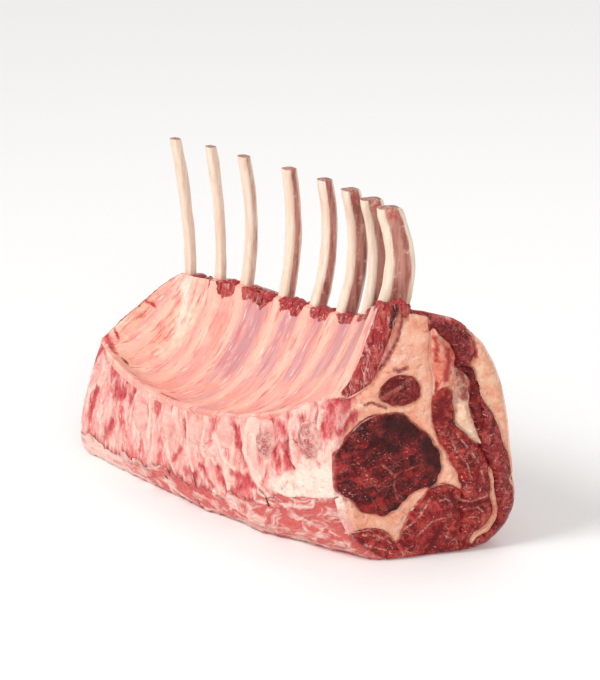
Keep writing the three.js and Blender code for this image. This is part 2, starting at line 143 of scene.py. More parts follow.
def uneven(points, size, octaves=3, stretch=(1, 1, 1), shift=0.0):
    """Soft uneven values, about -1 to 1, in lumps of a size in mm."""
    flat = (points / size * np.array(stretch) + shift).reshape(-1, 3)
    values = [noise.fractal(p, 1.0, 2.0, octaves, noise_basis="PERLIN_ORIGINAL") for p in flat.tolist()]
    return np.array(values).reshape(points.shape[:-1])


def outward(outline):
    """Unit directions out of a closed outline at its points."""
    run = np.roll(outline, -1, 0) - np.roll(outline, 1, 0)
    after = np.roll(outline, -1, 0)
    way = np.sign((outline[:, 0] * after[:, 1] - after[:, 0] * outline[:, 1]).sum())
    normal = np.stack([run[:, 1], -run[:, 0]], 1) * way
    return normal / np.maximum(np.linalg.norm(normal, axis=1, keepdims=True), 1e-9)


def nearest(points, start, end):
    """The nearest places to points on a run of straight lines, and how far they are."""
    found, gaps = np.empty_like(points), np.empty(len(points))
    run = end - start
    length = np.maximum((run**2).sum(1), 1e-9)
    for first in range(0, len(points), 1200):
        part = points[first : first + 1200, None]
        t = np.clip(((part - start) * run).sum(2) / length, 0, 1)
        on = start + t[..., None] * run
        gap = np.linalg.norm(part - on, axis=2)
        best = gap.argmin(1)
        rows = np.arange(len(best))
        found[first : first + 1200] = on[rows, best]
        gaps[first : first + 1200] = gap[rows, best]
    return found, gaps


def depth_in(points, outline):
    """How deep points lie inside a closed outline in mm, below zero outside it."""
    start, end = outline, np.roll(outline, -1, 0)
    _, gaps = nearest(points, start, end)
    slope = (end[:, 0] - start[:, 0]) / np.where(end[:, 1] == start[:, 1], 1e-9, end[:, 1] - start[:, 1])
    across = points[:, 1, None]
    spans = (start[:, 1] > across) != (end[:, 1] > across)
    left = points[:, 0, None] < start[:, 0] + slope * (across - start[:, 1])
    return np.where((spans & left).sum(1) % 2 == 1, gaps, -gaps)


def stroke(points, line, half_width):
    """1 on a line of points, fading to 0 away from it."""
    line = np.array(line, float)
    if len(line) > 1:
        _, gaps = nearest(points, line[:-1], line[1:])
    else:
        gaps = np.linalg.norm(points - line[0], axis=1)
    return np.exp(-((gaps / half_width) ** 2))


def strokes(points, marks):
    """The strongest of several strokes, each (half width, line of points)."""
    return np.max([stroke(points, line, half_width) for half_width, line in marks], 0)


def cut_face(outline, spacing, seed):
    """Loose points inside an outline, and the triangles that fill it."""
    rng = np.random.default_rng(seed)
    low, high = outline.min(0), outline.max(0)
    steps = [np.arange(low[k], high[k], spacing) for k in (0, 1)]
    grid = np.stack(np.meshgrid(*steps), -1).reshape(-1, 2)
    grid = grid + rng.uniform(-0.3, 0.3, grid.shape) * spacing
    inner = grid[depth_in(grid, outline) > 0.6 * spacing]
    after = np.roll(outline, -1, 0)
    turns_left = (outline[:, 0] * after[:, 1] - after[:, 0] * outline[:, 1]).sum() > 0
    loop = list(range(len(outline)))
    points = [Vector(p) for p in np.concatenate([outline, inner]).tolist()]
    made = geometry.delaunay_2d_cdt(points, [], [loop if turns_left else loop[::-1]], 1, 1e-7)
    source = [came[0] if came else -1 for came in made[3]]
    faces = [[source[i] for i in face] for face in made[2]]
    return inner, [face for face in faces if -1 not in face]


def tube_faces(rings, sides):
    """The four-sided faces between rings of as many points each."""
    faces = []
    for first in range(0, (rings - 1) * sides, sides):
        a = np.arange(sides) + first
        b = np.roll(a, -1)
        faces += np.stack([a, b, b + sides, a + sides], 1).tolist()
    return faces


def lofted(name, rings, shares, spacing, relief):
    """A closed piece through outlines along the rack, with both ends cut faces that relief raises.
    Returns it with each point's share, place in the section and depth into the cut face."""
    sides = len(rings[0])
    rings = np.array(rings)
    for k in (0, -1):
        rings[k] = rings[k] - outward(rings[k]) * EDGE_ROUND * 0.7
    rings[..., 1] = np.maximum(rings[..., 1], 0)
    points = place(rings[..., 0], rings[..., 1], np.array(shares)[:, None])
    verts = [points.reshape(-1, 3)]
    faces = tube_faces(len(rings), sides)
    count = len(rings) * sides
    section = [rings.reshape(-1, 2)]
    at_share = [np.repeat(shares, sides)]
    into = [np.full(count, -1.0)]
    for end in (0, 1):
        ring, first = rings[-end], (len(rings) - 1) * sides * end
        inner, triangles = cut_face(ring, spacing, 7 + end)
        turn = along(TURN, end)
        way = np.array([math.cos(turn), -math.sin(turn), 0]) * (1 if end else -1)
        both = np.concatenate([ring, inner])
        lift = relief(both, end)
        verts[0][first : first + sides] += way * lift[:sides, None]
        verts.append(place(inner[:, 0], inner[:, 1], float(end)) + way * lift[sides:, None])
        number = np.concatenate([np.arange(sides) + first, np.arange(len(inner)) + count])
        count += len(inner)
        faces += number[np.array(triangles)].tolist()
        section.append(inner)
        at_share.append(np.full(len(inner), float(end)))
        into[0][first : first + sides] = 0
        into.append(np.maximum(depth_in(inner, ring), 0))
    data = {"share": at_share, "section": section, "into": into}
    made = closed_mesh(name, np.concatenate(verts), faces)
    return made, {key: np.concatenate(parts) for key, parts in data.items()}


def closed_mesh(name, points, faces):
    """An object from points in mm."""
    mesh = bpy.data.meshes.new(name)
    mesh.from_pydata((points * 0.001).tolist(), [], faces)
    made = bpy.data.objects.new(name, mesh)
    bpy.context.scene.collection.objects.link(made)
    return made


def close_seams(made):
    """Merges a piece's doubles, turns its faces outwards and shades it smooth but for sharp steps."""
    bpy.context.view_layer.objects.active = made
    made.select_set(True)
    bpy.ops.object.mode_set(mode="EDIT")
    bpy.ops.mesh.select_all(action="SELECT")
    bpy.ops.mesh.remove_doubles(threshold=2e-6)
    bpy.ops.mesh.normals_make_consistent(inside=False)
    bpy.ops.object.mode_set(mode="OBJECT")
    bpy.ops.object.shade_smooth_by_angle(angle=math.radians(50))
    made.select_set(False)


def mark(piece, name, values):
    """Keeps one number for each point of a piece, which its material reads."""
    kept = piece.data.attributes.new(name, "FLOAT", "POINT")
    kept.data.foreach_set("value", np.asarray(values, np.float32))


def colour(code):
    """A colour by its sRGB code, as the light values that materials take."""
    parts = [int(code[i : i + 2], 16) / 255 for i in (0, 2, 4)]
    return [p / 12.92 if p <= 0.04045 else ((p + 0.055) / 1.055) ** 2.4 for p in parts] + [1.0]


def add(tree, kind, settings=None, **links):
    """Adds a node with its settings, and links its sockets to the nodes and sockets given."""
    made = tree.nodes.new("ShaderNode" + kind)
    for key, value in (settings or {}).items():
        if key == "stops":
            for stop, (at, level) in zip(made.color_ramp.elements, value):
                stop.position, stop.color = at, grey(level)
        elif isinstance(key, int) or key in made.inputs:
            made.inputs[key].default_value = value
        else:
            setattr(made, key, value)
    for key, (source, socket) in links.items():
        entry = made.inputs[int(key[1:]) if key[0] == "_" else key.replace("_", " ")]
        tree.links.new(source.outputs[socket], entry)
    return made


def per(size_mm):
    """The scale of a pattern on Object coordinates whose features are size_mm across."""
    return 1000 / size_mm


def grey(level):
    return [level, level, level, 1.0]


def start_material(name):
    """A material with its empty tree, and coordinates that run along and across the rack."""
    made = bpy.data.materials.new(name)
    made.use_nodes = True
    made.node_tree.nodes.clear()
    return made, made.node_tree, (add(made.node_tree, "TexCoord"), "Object")


def layered(shade, *layers):
    """A colour with others over it in turn, each with its share. A colour is a code, a level of grey
    or a node's output, and a share is a level or an output."""
    for over, share in layers:
        sources = {6: shade, 7: over, 0: share}
        tree = next(source[0].id_data for source in sources.values() if isinstance(source, tuple))
        links = {f"_{slot}": source for slot, source in sources.items() if isinstance(source, tuple)}
        made = add(tree, "Mix", {"data_type": "RGBA"}, **links)
        for slot, source in sources.items():
            if isinstance(source, str):
                made.inputs[slot].default_value = colour(source)
            elif not isinstance(source, tuple):
                made.inputs[slot].default_value = grey(source) if slot else source
        shade = made, 2
    return shade


def lumps(spots, size_mm, low, high, detail=4, warp=0.0):
    """A share from 0 to 1 that follows lumps of a size, sharpened between two levels."""
    tree = spots[0].id_data
    settings = {"Scale": per(size_mm), "Detail": detail, "Distortion": warp, "Roughness": 0.6}
    made = add(tree, "TexNoise", settings, Vector=spots)
    return add(tree, "ValToRGB", {"stops": [(low, 0), (high, 1)]}, Fac=(made, "Fac")), "Color"


def region(name, spots, size_mm, reach, low, high):
    """Where a piece carries a mark, with its border made ragged by lumps of a size."""
    tree = spots[0].id_data
    marked = add(tree, "Attribute", {"attribute_name": name})
    rough = add(tree, "TexNoise", {"Scale": per(size_mm), "Detail": 5, "Roughness": 0.65}, Vector=spots)
    shift = add(tree, "Math", {"operation": "MULTIPLY_ADD", 1: reach, 2: -reach / 2}, _0=(rough, "Fac"))
    total = add(tree, "Math", {"operation": "ADD"}, _0=(marked, "Fac"), _1=(shift, 0))
    return add(tree, "ValToRGB", {"stops": [(low, 0), (high, 1)]}, Fac=(total, 0)), "Color"


def finished(shade, rough, bumps, wet=0.0, flesh=0.12, shine=0.5):
    """The surface itself: its colour, how rough it is, bumps as (height, mm), and a wet film."""
    tree = shade[0].id_data
    settings = {
        "Subsurface Weight": flesh,
        "Subsurface Radius": (1.0, 0.35, 0.2),
        "Subsurface Scale": 0.003,
        "IOR": 1.4,
        "Specular IOR Level": shine,
        "Coat Weight": wet,
        "Coat Roughness": 0.12,
    }
    under = {}
    for height, deep_mm in bumps:
        bump = add(tree, "Bump", {"Strength": 1.0, "Distance": deep_mm * 0.001}, Height=height, **under)
        under = {"Normal": (bump, "Normal")}
    made = add(tree, "BsdfPrincipled", settings, Base_Color=shade, Roughness=rough, **under)
    add(tree, "OutputMaterial", Surface=(made, "BSDF"))


def chine_mm(share, height):
    """A place on the sawn side as mm along it and up it."""
    return np.stack(np.broadcast_arrays(np.asarray(share) * LENGTH, height), -1)


def on_chine(places, marks):
    """The strongest of several strokes on the sawn side, their points by share and height."""
    return strokes(places, [(half_width, chine_mm(*np.array(line).T)) for half_width, line in marks])


# What the saw left on the backbone's side: each mark is its half width in mm, then its line.
TENDONS = [
    (2.0, [(0.75, 57), (0.727, 48), (0.725, 40), (0.757, 30), (0.81, 23)]),
    (1.2, [(0.57, 43), (0.573, 34), (0.617, 28)]),
    (1.4, [(0.618, 41), (0.648, 33), (0.69, 29)]),
    (1.5, [(0.657, 29), (0.666, 18)]),
    (1.8, [(0.607, 14), (0.661, 12)]),
    (1.3, [(0.872, 54), (0.9, 42)]),
    (1.6, [(0.335, 46), (0.341, 26)]),
    (1.5, [(0.96, 68), (0.955, 56), (0.97, 47)]),
    (1.2, [(0.49, 45), (0.5, 32), (0.53, 20)]),
    (1.3, [(0.42, 26), (0.46, 12)]),
]
RAW_SPOTS = [
    (3.0, [(0.683, 48), (0.707, 41), (0.715, 33)]),
    (2.6, [(0.68, 27), (0.76, 25)]),
    (2.2, [(0.481, 40), (0.495, 32)]),
    (2.8, [(0.387, 11)]),
    (4.5, [(0.5, 18), (0.53, 19)]),
    (2.5, [(0.953, 66), (0.944, 57)]),
    (2.8, [(0.828, 56), (0.855, 52), (0.87, 44)]),
    (5.5, [(0.14, 47), (0.165, 38), (0.2, 40)]),
    (3.5, [(0.24, 38), (0.25, 44)]),
    (3.0, [(0.295, 36), (0.316, 36)]),
    (3.0, [(0.37, 46), (0.365, 39)]),
    (2.2, [(0.56, 24), (0.6, 16)]),
    (2.4, [(0.63, 26), (0.66, 16)]),
    (3.2, [(0.05, 22), (0.06, 34)]),
    (3.0, [(0.12, 14), (0.16, 24)]),
    (3.4, [(0.79, 60), (0.81, 50), (0.84, 38)]),
    (3.0, [(0.6, 52), (0.597, 44)]),
    (5.0, [(0.985, 80), (0.98, 68), (0.972, 60)]),
    (3.0, [(0.9, 62), (0.915, 50)]),
    (2.6, [(0.21, 46), (0.235, 52)]),
    (2.4, [(0.44, 20), (0.47, 27)]),
    (3.0, [(0.7, 20), (0.735, 27)]),
    (3.4, [(0.0, 44), (0.03, 54), (0.09, 52)]),
    (2.6, [(0.85, 48), (0.862, 42), (0.89, 37)]),
]
SLITS = [
    (1.0, [(0.853, 50), (0.857, 44), (0.886, 39.5)]),
    (0.5, [(0.878, 52), (0.9, 50)]),
    (0.9, [(0.624, 50), (0.628, 51)]),
    (0.4, [(0.575, 34), (0.612, 27)]),
    (0.35, [(0.836, 24.3), (0.918, 21.3), (0.965, 22)]),
    (0.35, [(0.868, 32.5), (0.846, 27.4)]),
]
# And what shows on the shoulder cut, by inset and height: islets of meat, and where the side's ragged
# meat and its dry fat wrap round the corner onto the cut.
ISLETS = [
    (1.5, [(28.6, 85.4), (31, 84.6), (33.4, 86)]),
    (1.3, [(32.6, 112), (29.6, 99), (25.8, 90.5), (22.6, 86)]),
    (1.0, [(25, 69), (19, 72), (16, 71)]),
]
WRAPPED_SIDE = [(6, [(22, 92), (12, 82), (4, 68), (0, 52), (-2, 40)])]
WRAPPED_MEAT = [(3.6, [(19, 86), (11, 80), (6, 70)]), (2.4, [(12, 68), (6, 60)])]
WRAPPED_DRY = [(4.5, [(-2, 40), (0, 28), (5, 22)])]
DRY_FAT = [
    (0.805, 29), (0.86, 36), (0.92, 43), (1.0, 46), (1.06, 38), (1.06, 27), (0.96, 23.5), (0.85, 23),
]

shares = np.linspace(0, 1, STATIONS)
shares = np.concatenate([[0], [EDGE_ROUND / LENGTH], shares[2:-2], [1 - EDGE_ROUND / LENGTH], [1]])
zones = np.repeat(list(ZONES), list(ZONES.values()))
block_rings = np.array([block_outline(s) for s in shares])
solid_places = place(block_rings[..., 0], block_rings[..., 1], shares[:, None])
soft = uneven(solid_places, 22, 2)
lumpy = uneven(solid_places, 6, 3)
flat_places = chine_mm(shares[:, None], block_rings[..., 1]).reshape(-1, 2)


def on_face(values):
    return np.asarray(values).reshape(block_rings.shape[:2]) * (zones == "chine")


dry_outline = chine_mm(*np.array(DRY_FAT).T)
tendon = on_face(on_chine(flat_places, TENDONS))
raw = on_face(on_chine(flat_places, RAW_SPOTS))
slit = on_face(on_chine(flat_places, SLITS))
dry = on_face(np.clip(depth_in(flat_places, dry_outline) / 3 + 0.5, 0, 1))
sway = np.where((zones == "sole") | (zones == "hidden"), 0, 1.0)
lift = sway * (1.0 * soft + 0.55 * lumpy * (1 - dry)) + 0.7 * tendon - 0.6 * raw * (1 - tendon) - 1.7 * slit
on_corner = np.select([zones == "chine", zones == "outer", zones == "foot"], [1.0, 0.7, 0.7], 0.0)
for k, ring in enumerate(block_rings):
    past_end = 1 - np.clip(min(shares[k], 1 - shares[k]) * LENGTH / CORNER_ROUND, 0, 1)
    drawn_in = 0.8 * CORNER_ROUND * (1 - math.sqrt(1 - 0.98 * past_end**2))
    block_rings[k] = ring + outward(ring) * (lift[k] - drawn_in * on_corner)[:, None]
block_rings[..., 1] = np.maximum(block_rings[..., 1], BLOCK_SOLE)

# Where the meat's inner and outer sides lie at both ends, at five levels from the sole up. The
# layers, drawn at the shoulder cut, keep their place between the two along the rack.
INNER_NEAR = [4, 0, 3, 12, 30]
INNER_FAR = [3, 5, 7, 38, 58]
OUTER_NEAR = [78, 85, 78, 74, 40]
OUTER_FAR = [86, 92, 92, 88, 66]
LIKE_FAR_END = [1, 1, 0.97, 0.85, 0]

# The layers in the order in which they lie over one another at the cuts. Each has its outline at
# the shoulder cut, the points round it, how far it stands out of the cut and out of the skin.
LAYERS = {
    "loin_eye": (
        [(1.5, 47), (8, 55), (12, 61), (19, 65.5), (29, 65.5), (38, 61), (46, 52), (51, 41), (48, 33),
         (38, 28.5), (29, 21), (21, 20.5), (11, 28.5), (3.5, 36)],
        230, 0.1, 0.0,
    ),
    "side_muscle": (
        [(22, 73.5), (25, 80.5), (32, 82.5), (39.5, 79), (40.5, 72.5), (35, 69), (27, 70)],
        120, 0.2, 0.0,
    ),
    "cap_muscle": (
        [(52.7, 75.5), (55.2, 71), (55.5, 60.5), (60.3, 53.9), (66.5, 48.4), (71.5, 39.3), (73, 31.6),
         (73, 24), (74, 16.2), (70.3, 10.2), (63.9, 6.3), (59.8, -15), (59, 10), (59.5, 16.3),
         (57.8, 22.6), (59, 28), (57.8, 36.3), (53.5, 44.3), (49.3, 50.7), (46.2, 57.8), (45.6, 67.4),
         (48.7, 74.5)],
        260, 1.4, 0.3,
    ),
    "fat_flap": (
        [(44.3, 101), (48.5, 98.9), (53, 94.5), (55.3, 88), (55, 77), (52, 75.5), (47, 72), (45.2, 78)],
        130, 3.2, 0.0,
    ),
    "fat_finger": (
        [(55.7, 82.2), (59.6, 81.4), (61.7, 77.6), (62, 67.3), (64.5, 59), (68.6, 50.2), (67.2, 48.1),
         (61.1, 53.2), (55.7, 60.5), (55.4, 75)],
        150, 3.0, 0.0,
    ),
    "cap_leaf": (
        [(56.3, 84.2), (60, 84.6), (64, 81), (66, 74.3), (68.3, 66.7), (68.8, 58.4), (66.7, 53),
         (64.3, 59), (62, 67), (61.8, 77.5)],
        130, 1.0, 0.0,
    ),
    "lower_muscle": (
        [(-40, 26), (-6, 22), (10, 17), (20, 16), (25.5, 14), (31, 6.8), (35, 14), (38.7, 22.5),
         (44, 28.8), (48.5, 32), (54, 32), (61, 26), (63, 18), (63, 8), (61, -20), (-40, -20)],
        300, 0.9, 0.35,
    ),
    "seam_fat": (
        [(71.7, 38), (75.6, 27.5), (76.8, 20.4), (76, 13.6), (71.5, 7.6), (65.3, 2.8), (61, -16),
         (48, -16), (50, 9), (62, 24)],
        160, 1.0, 0.4,
    ),
    "top_muscle": (
        [(38, 130), (43.5, 106), (44, 100), (49, 96), (53, 90), (55, 84), (60, 82), (63.7, 87),
         (63.8, 92), (62.4, 97.2), (61, 103), (68, 130)],
        170, 1.6, 0.9,
    ),
    "outer_fat": (
        [(60.5, 112), (61, 102), (62.6, 97.2), (62.5, 92), (61, 86), (62, 80), (66, 74.5),
         (69, 67), (72.6, 61.8), (76.2, 53.9), (79.6, 44.5), (83, 34.3), (85, 29), (130, 27), (130, 112)],
        200, 1.0, 0.6,
    ),
    "outer_muscle": (
        [(65, 83), (69, 74), (70, 66.6), (73, 61.8), (76.5, 54), (80, 44.5), (83, 34), (86, 27),
         (130, 25), (130, -20), (58, -20), (66, 6), (73, 14), (71, 34), (66, 48), (65, 58), (63, 74)],
        250, 1.7, 0.5,
    ),
}
LOWER_MUSCLE_DROP = [0.55, 0.52, 0.55, 0.72, 0.84]
SOLE_STEP = 0.1
SKIN_LAYERS = ("lower_muscle", "seam_fat", "top_muscle", "outer_fat", "outer_muscle", "cap_muscle")


def rounded(points, steps):
    """A smooth closed line through points, with a few steps between each two."""
    p = np.array(points, float)[:, None]
    t = (np.arange(steps) / steps)[None, :, None]
    line = spline(np.roll(p, 1, 0), p, np.roll(p, -1, 0), np.roll(p, -2, 0), t)
    return line.reshape(-1, 2)


def layer_at(points, share):
    """A layer's outline at a share of the rack, from its outline at the shoulder cut."""
    level = points[:, 1] / WALL_TOP[1][-1]
    like_far = along(LIKE_FAR_END, share)
    inner, outer = along(INNER_NEAR, level), along(OUTER_NEAR, level)
    reach = (points[:, 0] - inner) / (outer - inner)
    start = inner + (along(INNER_FAR, level) - inner) * like_far
    end = outer + (along(OUTER_FAR, level) - outer) * like_far
    return np.stack([start + (end - start) * reach, level * along(WALL_TOP[1], share)], 1)


def evenly(outline, count):
    """The same closed outline in evenly spread points."""
    closed = np.concatenate([outline, outline[:1]])
    run = np.concatenate([[0], np.cumsum(np.linalg.norm(np.diff(closed, axis=0), axis=1))])
    at = np.linspace(0, run[-1], count, endpoint=False)
    return np.stack([np.interp(at, run, closed[:, k]) for k in (0, 1)], 1)


def with_level(points, level):
    """Points of a section with a third number, so that patterns change along the rack."""
    return np.concatenate([points, np.full((len(points), 1), float(level))], 1)


def layer_ring(name, k):
    """A layer's outline at a station, ragged, and drawn over the block's skin where it reaches it."""
    points, count, _, rise = LAYERS[name]
    share = shares[k]
    outline = evenly(layer_at(rounded(points, 8), share), count * 2)
    if name == "lower_muscle":
        on_left = np.clip((26 - outline[:, 0]) / 14, 0, 1)
        outline[:, 1] *= 1 - on_left * (1 - along(LOWER_MUSCLE_DROP, share))
    wobble = 1.5 if name == "loin_eye" else 1.0
    ragged = wobble * uneven(with_level(outline, share * 60), 7, 4, shift=count)
    outline = outline + outward(outline) * ragged[:, None]
    skin = block_rings[k]
    depth = depth_in(outline, skin)
    after = np.roll(skin, -1, 0)
    on_skin, _ = nearest(outline, skin, after)
    closest = np.linalg.norm(on_skin[:, None] - skin[None], axis=2).argmin(1)
    raised = on_skin + outward(skin)[closest] * rise
    raised[:, 1] = np.where(on_skin[:, 1] < BLOCK_SOLE + 0.4, 0, raised[:, 1])
    outline = np.where((depth < 0)[:, None], raised, outline)
    for _ in range(5):
        softened = (np.roll(outline, 1, 0) + outline * 2 + np.roll(outline, -1, 0)) / 4
        outline = np.where((outline[:, 1] > 1)[:, None], softened, outline)
    ring = evenly(outline, count)
    sole = SOLE_STEP * SKIN_LAYERS.index(name) if name in SKIN_LAYERS else BLOCK_SOLE
    ring[:, 1] = np.maximum(ring[:, 1], sole)
    return ring


layer_stations, layer_rings = {}, {}
for name in LAYERS:
    step = 2 if name in SKIN_LAYERS else 14
    last = len(shares) - 1
    layer_stations[name] = sorted({0, 1, last - 1, last, *range(1, last, step)})
    layer_rings[name] = [layer_ring(name, k) for k in layer_stations[name]]

# The rib wall: the band of meat that holds the ribs, under the smooth membrane that lines the rib
# cage. The ribs show through the membrane, and between their feet the knife left torn red meat.
WALL_THICK = [8, 7, 7, 8, 10]
RIB_SHARES = np.array([0.04, 0.176, 0.286, 0.447, 0.567, 0.668, 0.785, 0.932])
RIB_SLANT = 0.05
WALL_STEPS = np.linspace(-0.012, 1, 128)
TOP_STEPS = 22
WALL_SHOULDER = np.array([(0.6, -1.5), (0.4, -4), (-1.5, -7)])
# The lining's height in mm, which nicks are measured on, and the share up to which its edge is whole.
LINING_MM = 70
WHOLE_UNTIL = 0.15
# Where the knife nicked the membrane, by mm along the rack and mm up the lining.
LINING_NICKS = [
    (4.0, [(-2, 3), (6, 5), (13, 4)]),
    (1.6, [(1, 12), (5, 13)]),
    (1.2, [(1, 40), (4, 44)]),
    (1.6, [(30, 3), (40, 2), (48, 3)]),
    (1.3, [(66, 1.5), (78, 1.5)]),
]
LINING_HOLE = [(2.0, [(19, 10), (17, 8)])]


def on_rib(share, t):
    """How near a place of the lining lies to the middle of a rib, from 0 to 1."""
    away = np.abs(RIB_SHARES[:, None] + RIB_SLANT * (1 - t) - share).min(0) * LENGTH
    return np.exp(-((away / 4.2) ** 2))


def wall_lift(share, t):
    """How far the membrane swells out over ribs and folds, and dips between them."""
    spots = np.stack([share * LENGTH + 9 * t, t * 16, 0 * t], 1)
    folds = uneven(spots, 3.6, 2, shift=5)
    broad = uneven(spots, 14, 2, shift=11)
    fade = np.clip(t / 0.12, 0, 1)
    near_cut = np.clip((share - 0.9) / 0.1, 0, 1)
    swell = 1.2 * (on_rib(share, t) - 0.35) * fade * (1 - 0.5 * near_cut)
    edge = np.where(t < 0.03, -1.0 + 1.3 * np.clip((t + 0.012) / 0.03, 0, 1), 0.3)
    return edge + swell + (0.35 * folds + 0.5 * broad) * fade


def top_crag(share, across):
    """How ragged the wall's top is: torn meat between the ribs, drawn up against each rib."""
    spots = np.stack([np.full_like(across, share * LENGTH), across * 11, 0 * across], 1)
    torn = uneven(spots, 2.6, 3, shift=3)
    rib = on_rib(share, np.ones_like(across))
    return (1 - rib) * (1.6 * torn - 0.4) + rib * 1.3


def wall_ring(k):
    """The rib wall's outline at a station: the lining, the ragged top, and its hidden side."""
    share = shares[k]
    handles = lining(share)
    line, run = bezier(handles, WALL_STEPS)
    square = np.stack([-run[:, 1], run[:, 0]], 1)
    inner = line + square * wall_lift(share, WALL_STEPS)[:, None]
    across = np.linspace(0.08, 1, TOP_STEPS)
    crag = top_crag(share, across)
    over = line[-1] + (along(WALL_WIDTH, share), -2) * across[:, None] + np.stack([0 * crag, crag], 1)
    down = over[-1] + WALL_SHOULDER
    back_t = np.linspace(0.97, 0.02, 16)
    back, run = bezier(handles, back_t)
    thick = along(WALL_THICK, share) * (0.35 + 0.65 * np.clip(back_t / 0.3, 0, 1))
    back = back + np.stack([run[:, 1], -run[:, 0]], 1) * np.maximum(thick, 4)[:, None]
    return np.concatenate([inner, over, down, back])


wall_rings = [wall_ring(k) for k in range(len(shares))]

# The cut faces. A knife leaves the layers of a cut at slightly different levels, each a little
# swollen in its middle, and all of them follow the same slow swell of the whole cut. BARE is the
# depth in mm that stands for no cover at all.
BARE = -99.0


def covered(points, end, upper):
    """How deep points of a cut face lie inside any of the layers that lie over it."""
    rings = [wall_rings[-end] if name == "rib_wall" else layer_rings[name][-end] for name in upper]
    return np.max([depth_in(points, ring) for ring in rings], 0) if rings else np.full(len(points), BARE)


def broad_relief(points, end):
    """The slow swell of a whole cut face, the same for all its layers."""
    return 1.5 * uneven(with_level(points, 50 * end), 24, 2, shift=4)


def cut_relief(points, end, outline, high, upper):
    """How far a cut face stands out: full in the middle, low at its border and under what covers it."""
    depth = np.maximum(depth_in(points, outline), 0)
    spots = with_level(points, 50 * end)
    body = (high + 0.8) * (1 - np.exp(-depth / 2.2)) - 0.6
    body = body + 0.7 * uneven(spots, 8, 3) * np.clip(depth / 2.5, 0, 1)
    body = body + 0.22 * uneven(spots, 2.0, 3) * np.clip(depth, 0, 1) + broad_relief(points, end)
    return body - 2.4 * np.clip((covered(points, end, upper) + 0.5) / 1.2, 0, 1)


def block_relief(points, end):
    spots = with_level(points, 50 * end)
    cover = covered(points, end, ["rib_wall", *LAYERS])
    body = 1.3 * (1 - np.exp(np.minimum(cover, 0) / 2.6)) - 0.5
    body = body + 0.5 * uneven(spots, 10, 2) + 0.25 * uneven(spots, 2.6, 3) + broad_relief(points, end)
    edge = np.clip(depth_in(points, block_rings[-end]) / 1.2, 0, 1)
    return body * edge - 2.6 * np.clip((cover + 0.5) / 1.2, 0, 1)


block, data = lofted("block_of_fat", block_rings, shares, 1.0, block_relief)
flat = chine_mm(data["share"], data["section"][:, 1])
on_side = np.zeros(len(data["share"]))
on_side[: len(flat_places)] = np.tile(zones == "chine", len(shares))
mark(block, "tendon", on_chine(flat, TENDONS) * on_side)
strip_top = [ring[ring[:, 0] < 14, 1].max() for ring in layer_rings["lower_muscle"]]
strip_top = np.interp(data["share"], shares[layer_stations["lower_muscle"]], strip_top)
by_strip = 0.75 * np.exp(-(((flat[:, 1] - strip_top) / 3.6) ** 2))
on_cut = (data["into"] >= 0) * (data["share"] > NEAR_END)


def on_section(marks):
    """The strongest of several strokes on the shoulder cut."""
    return strokes(data["section"], marks) * on_cut


raw_side = np.maximum(on_chine(flat, RAW_SPOTS), by_strip) * on_side
mark(block, "raw", np.maximum(raw_side, on_section(WRAPPED_MEAT)))
mark(block, "slit", on_chine(flat, SLITS) * on_side)
dry = np.clip(depth_in(flat, dry_outline) / 6 + 0.6, 0, 1) * on_side
mark(block, "dry", np.maximum(dry, on_section(WRAPPED_DRY)))
mark(block, "sawn", np.maximum(on_side, on_section(WRAPPED_SIDE)))
mark(block, "islet", on_section(ISLETS))

# Raw lamb fat: firm, waxy and a little see-through, peach where a knife cut it. On the sawn side it
# is streaked with pink and red meat, and where it has dried it is cream and dull.
fat, tree, spots = start_material("raw_lamb_fat")
tilted = add(tree, "Mapping", {"Rotation": (0, 0.38, 0), "Scale": (1, 1, 0.38)}, Vector=spots), "Vector"
peach = layered(
    "EE9F80",
    ("F8BFA2", lumps(spots, 6, 0.38, 0.62)),
    ("DE7A62", lumps(spots, 4.5, 0.54, 0.72, warp=1)),
    ("F9D6C6", lumps(spots, 3.4, 0.56, 0.7, warp=0.6)),
)
side = layered(
    "F3C8BA",
    ("EB9F95", lumps(tilted, 5.5, 0.42, 0.6, detail=6, warp=1.5)),
    ("DA5556", lumps(tilted, 7.0, 0.49, 0.66, detail=9, warp=1.2)),
    ("F8DDD0", lumps(tilted, 3.2, 0.58, 0.7, detail=5, warp=1.0)),
)
blood = layered("D4545A", ("B3222C", lumps(tilted, 2.4, 0.42, 0.6, detail=6)))
cream = layered("F8DFCF", ("F1C8B2", lumps(spots, 3, 0.5, 0.72)))
dryness = region("dry", spots, 3.4, 1.8, 0.35, 1.0)
shade = layered(
    peach,
    (side, region("sawn", spots, 3.5, 1.1, 0.3, 0.7)),
    (blood, region("raw", tilted, 2.2, 2.2, 0.35, 1.0)),
    ("F6CDBD", region("tendon", tilted, 1.8, 1.5, 0.4, 0.9)),
    (cream, dryness),
    ("7C1B1C", region("slit", spots, 1.0, 0.8, 0.45, 1.1)),
    ("96302E", region("islet", spots, 1.8, 1.0, 0.35, 0.95)),
)
gloss = layered(0.3, (0.58, lumps(spots, 2.5, 0.35, 0.6)), (0.75, dryness))
coarse = lumps(spots, 2.2, 0.3, 0.7, detail=5)
fine = lumps(spots, 0.7, 0.3, 0.7, detail=3)
finished(shade, gloss, [(coarse, 0.5), (fine, 0.16)], wet=0.1)
close_seams(block)
block.data.materials.append(fat)
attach(block, "root")
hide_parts("fat_body")


def wall_relief(points, end):
    depth = np.clip(depth_in(points, wall_rings[-end]), 0, 2) / 2
    crumbly = 0.8 * uneven(with_level(points, 30 * end), 4, 4) * depth
    return cut_relief(points, end, wall_rings[-end], 0.8, []) + crumbly


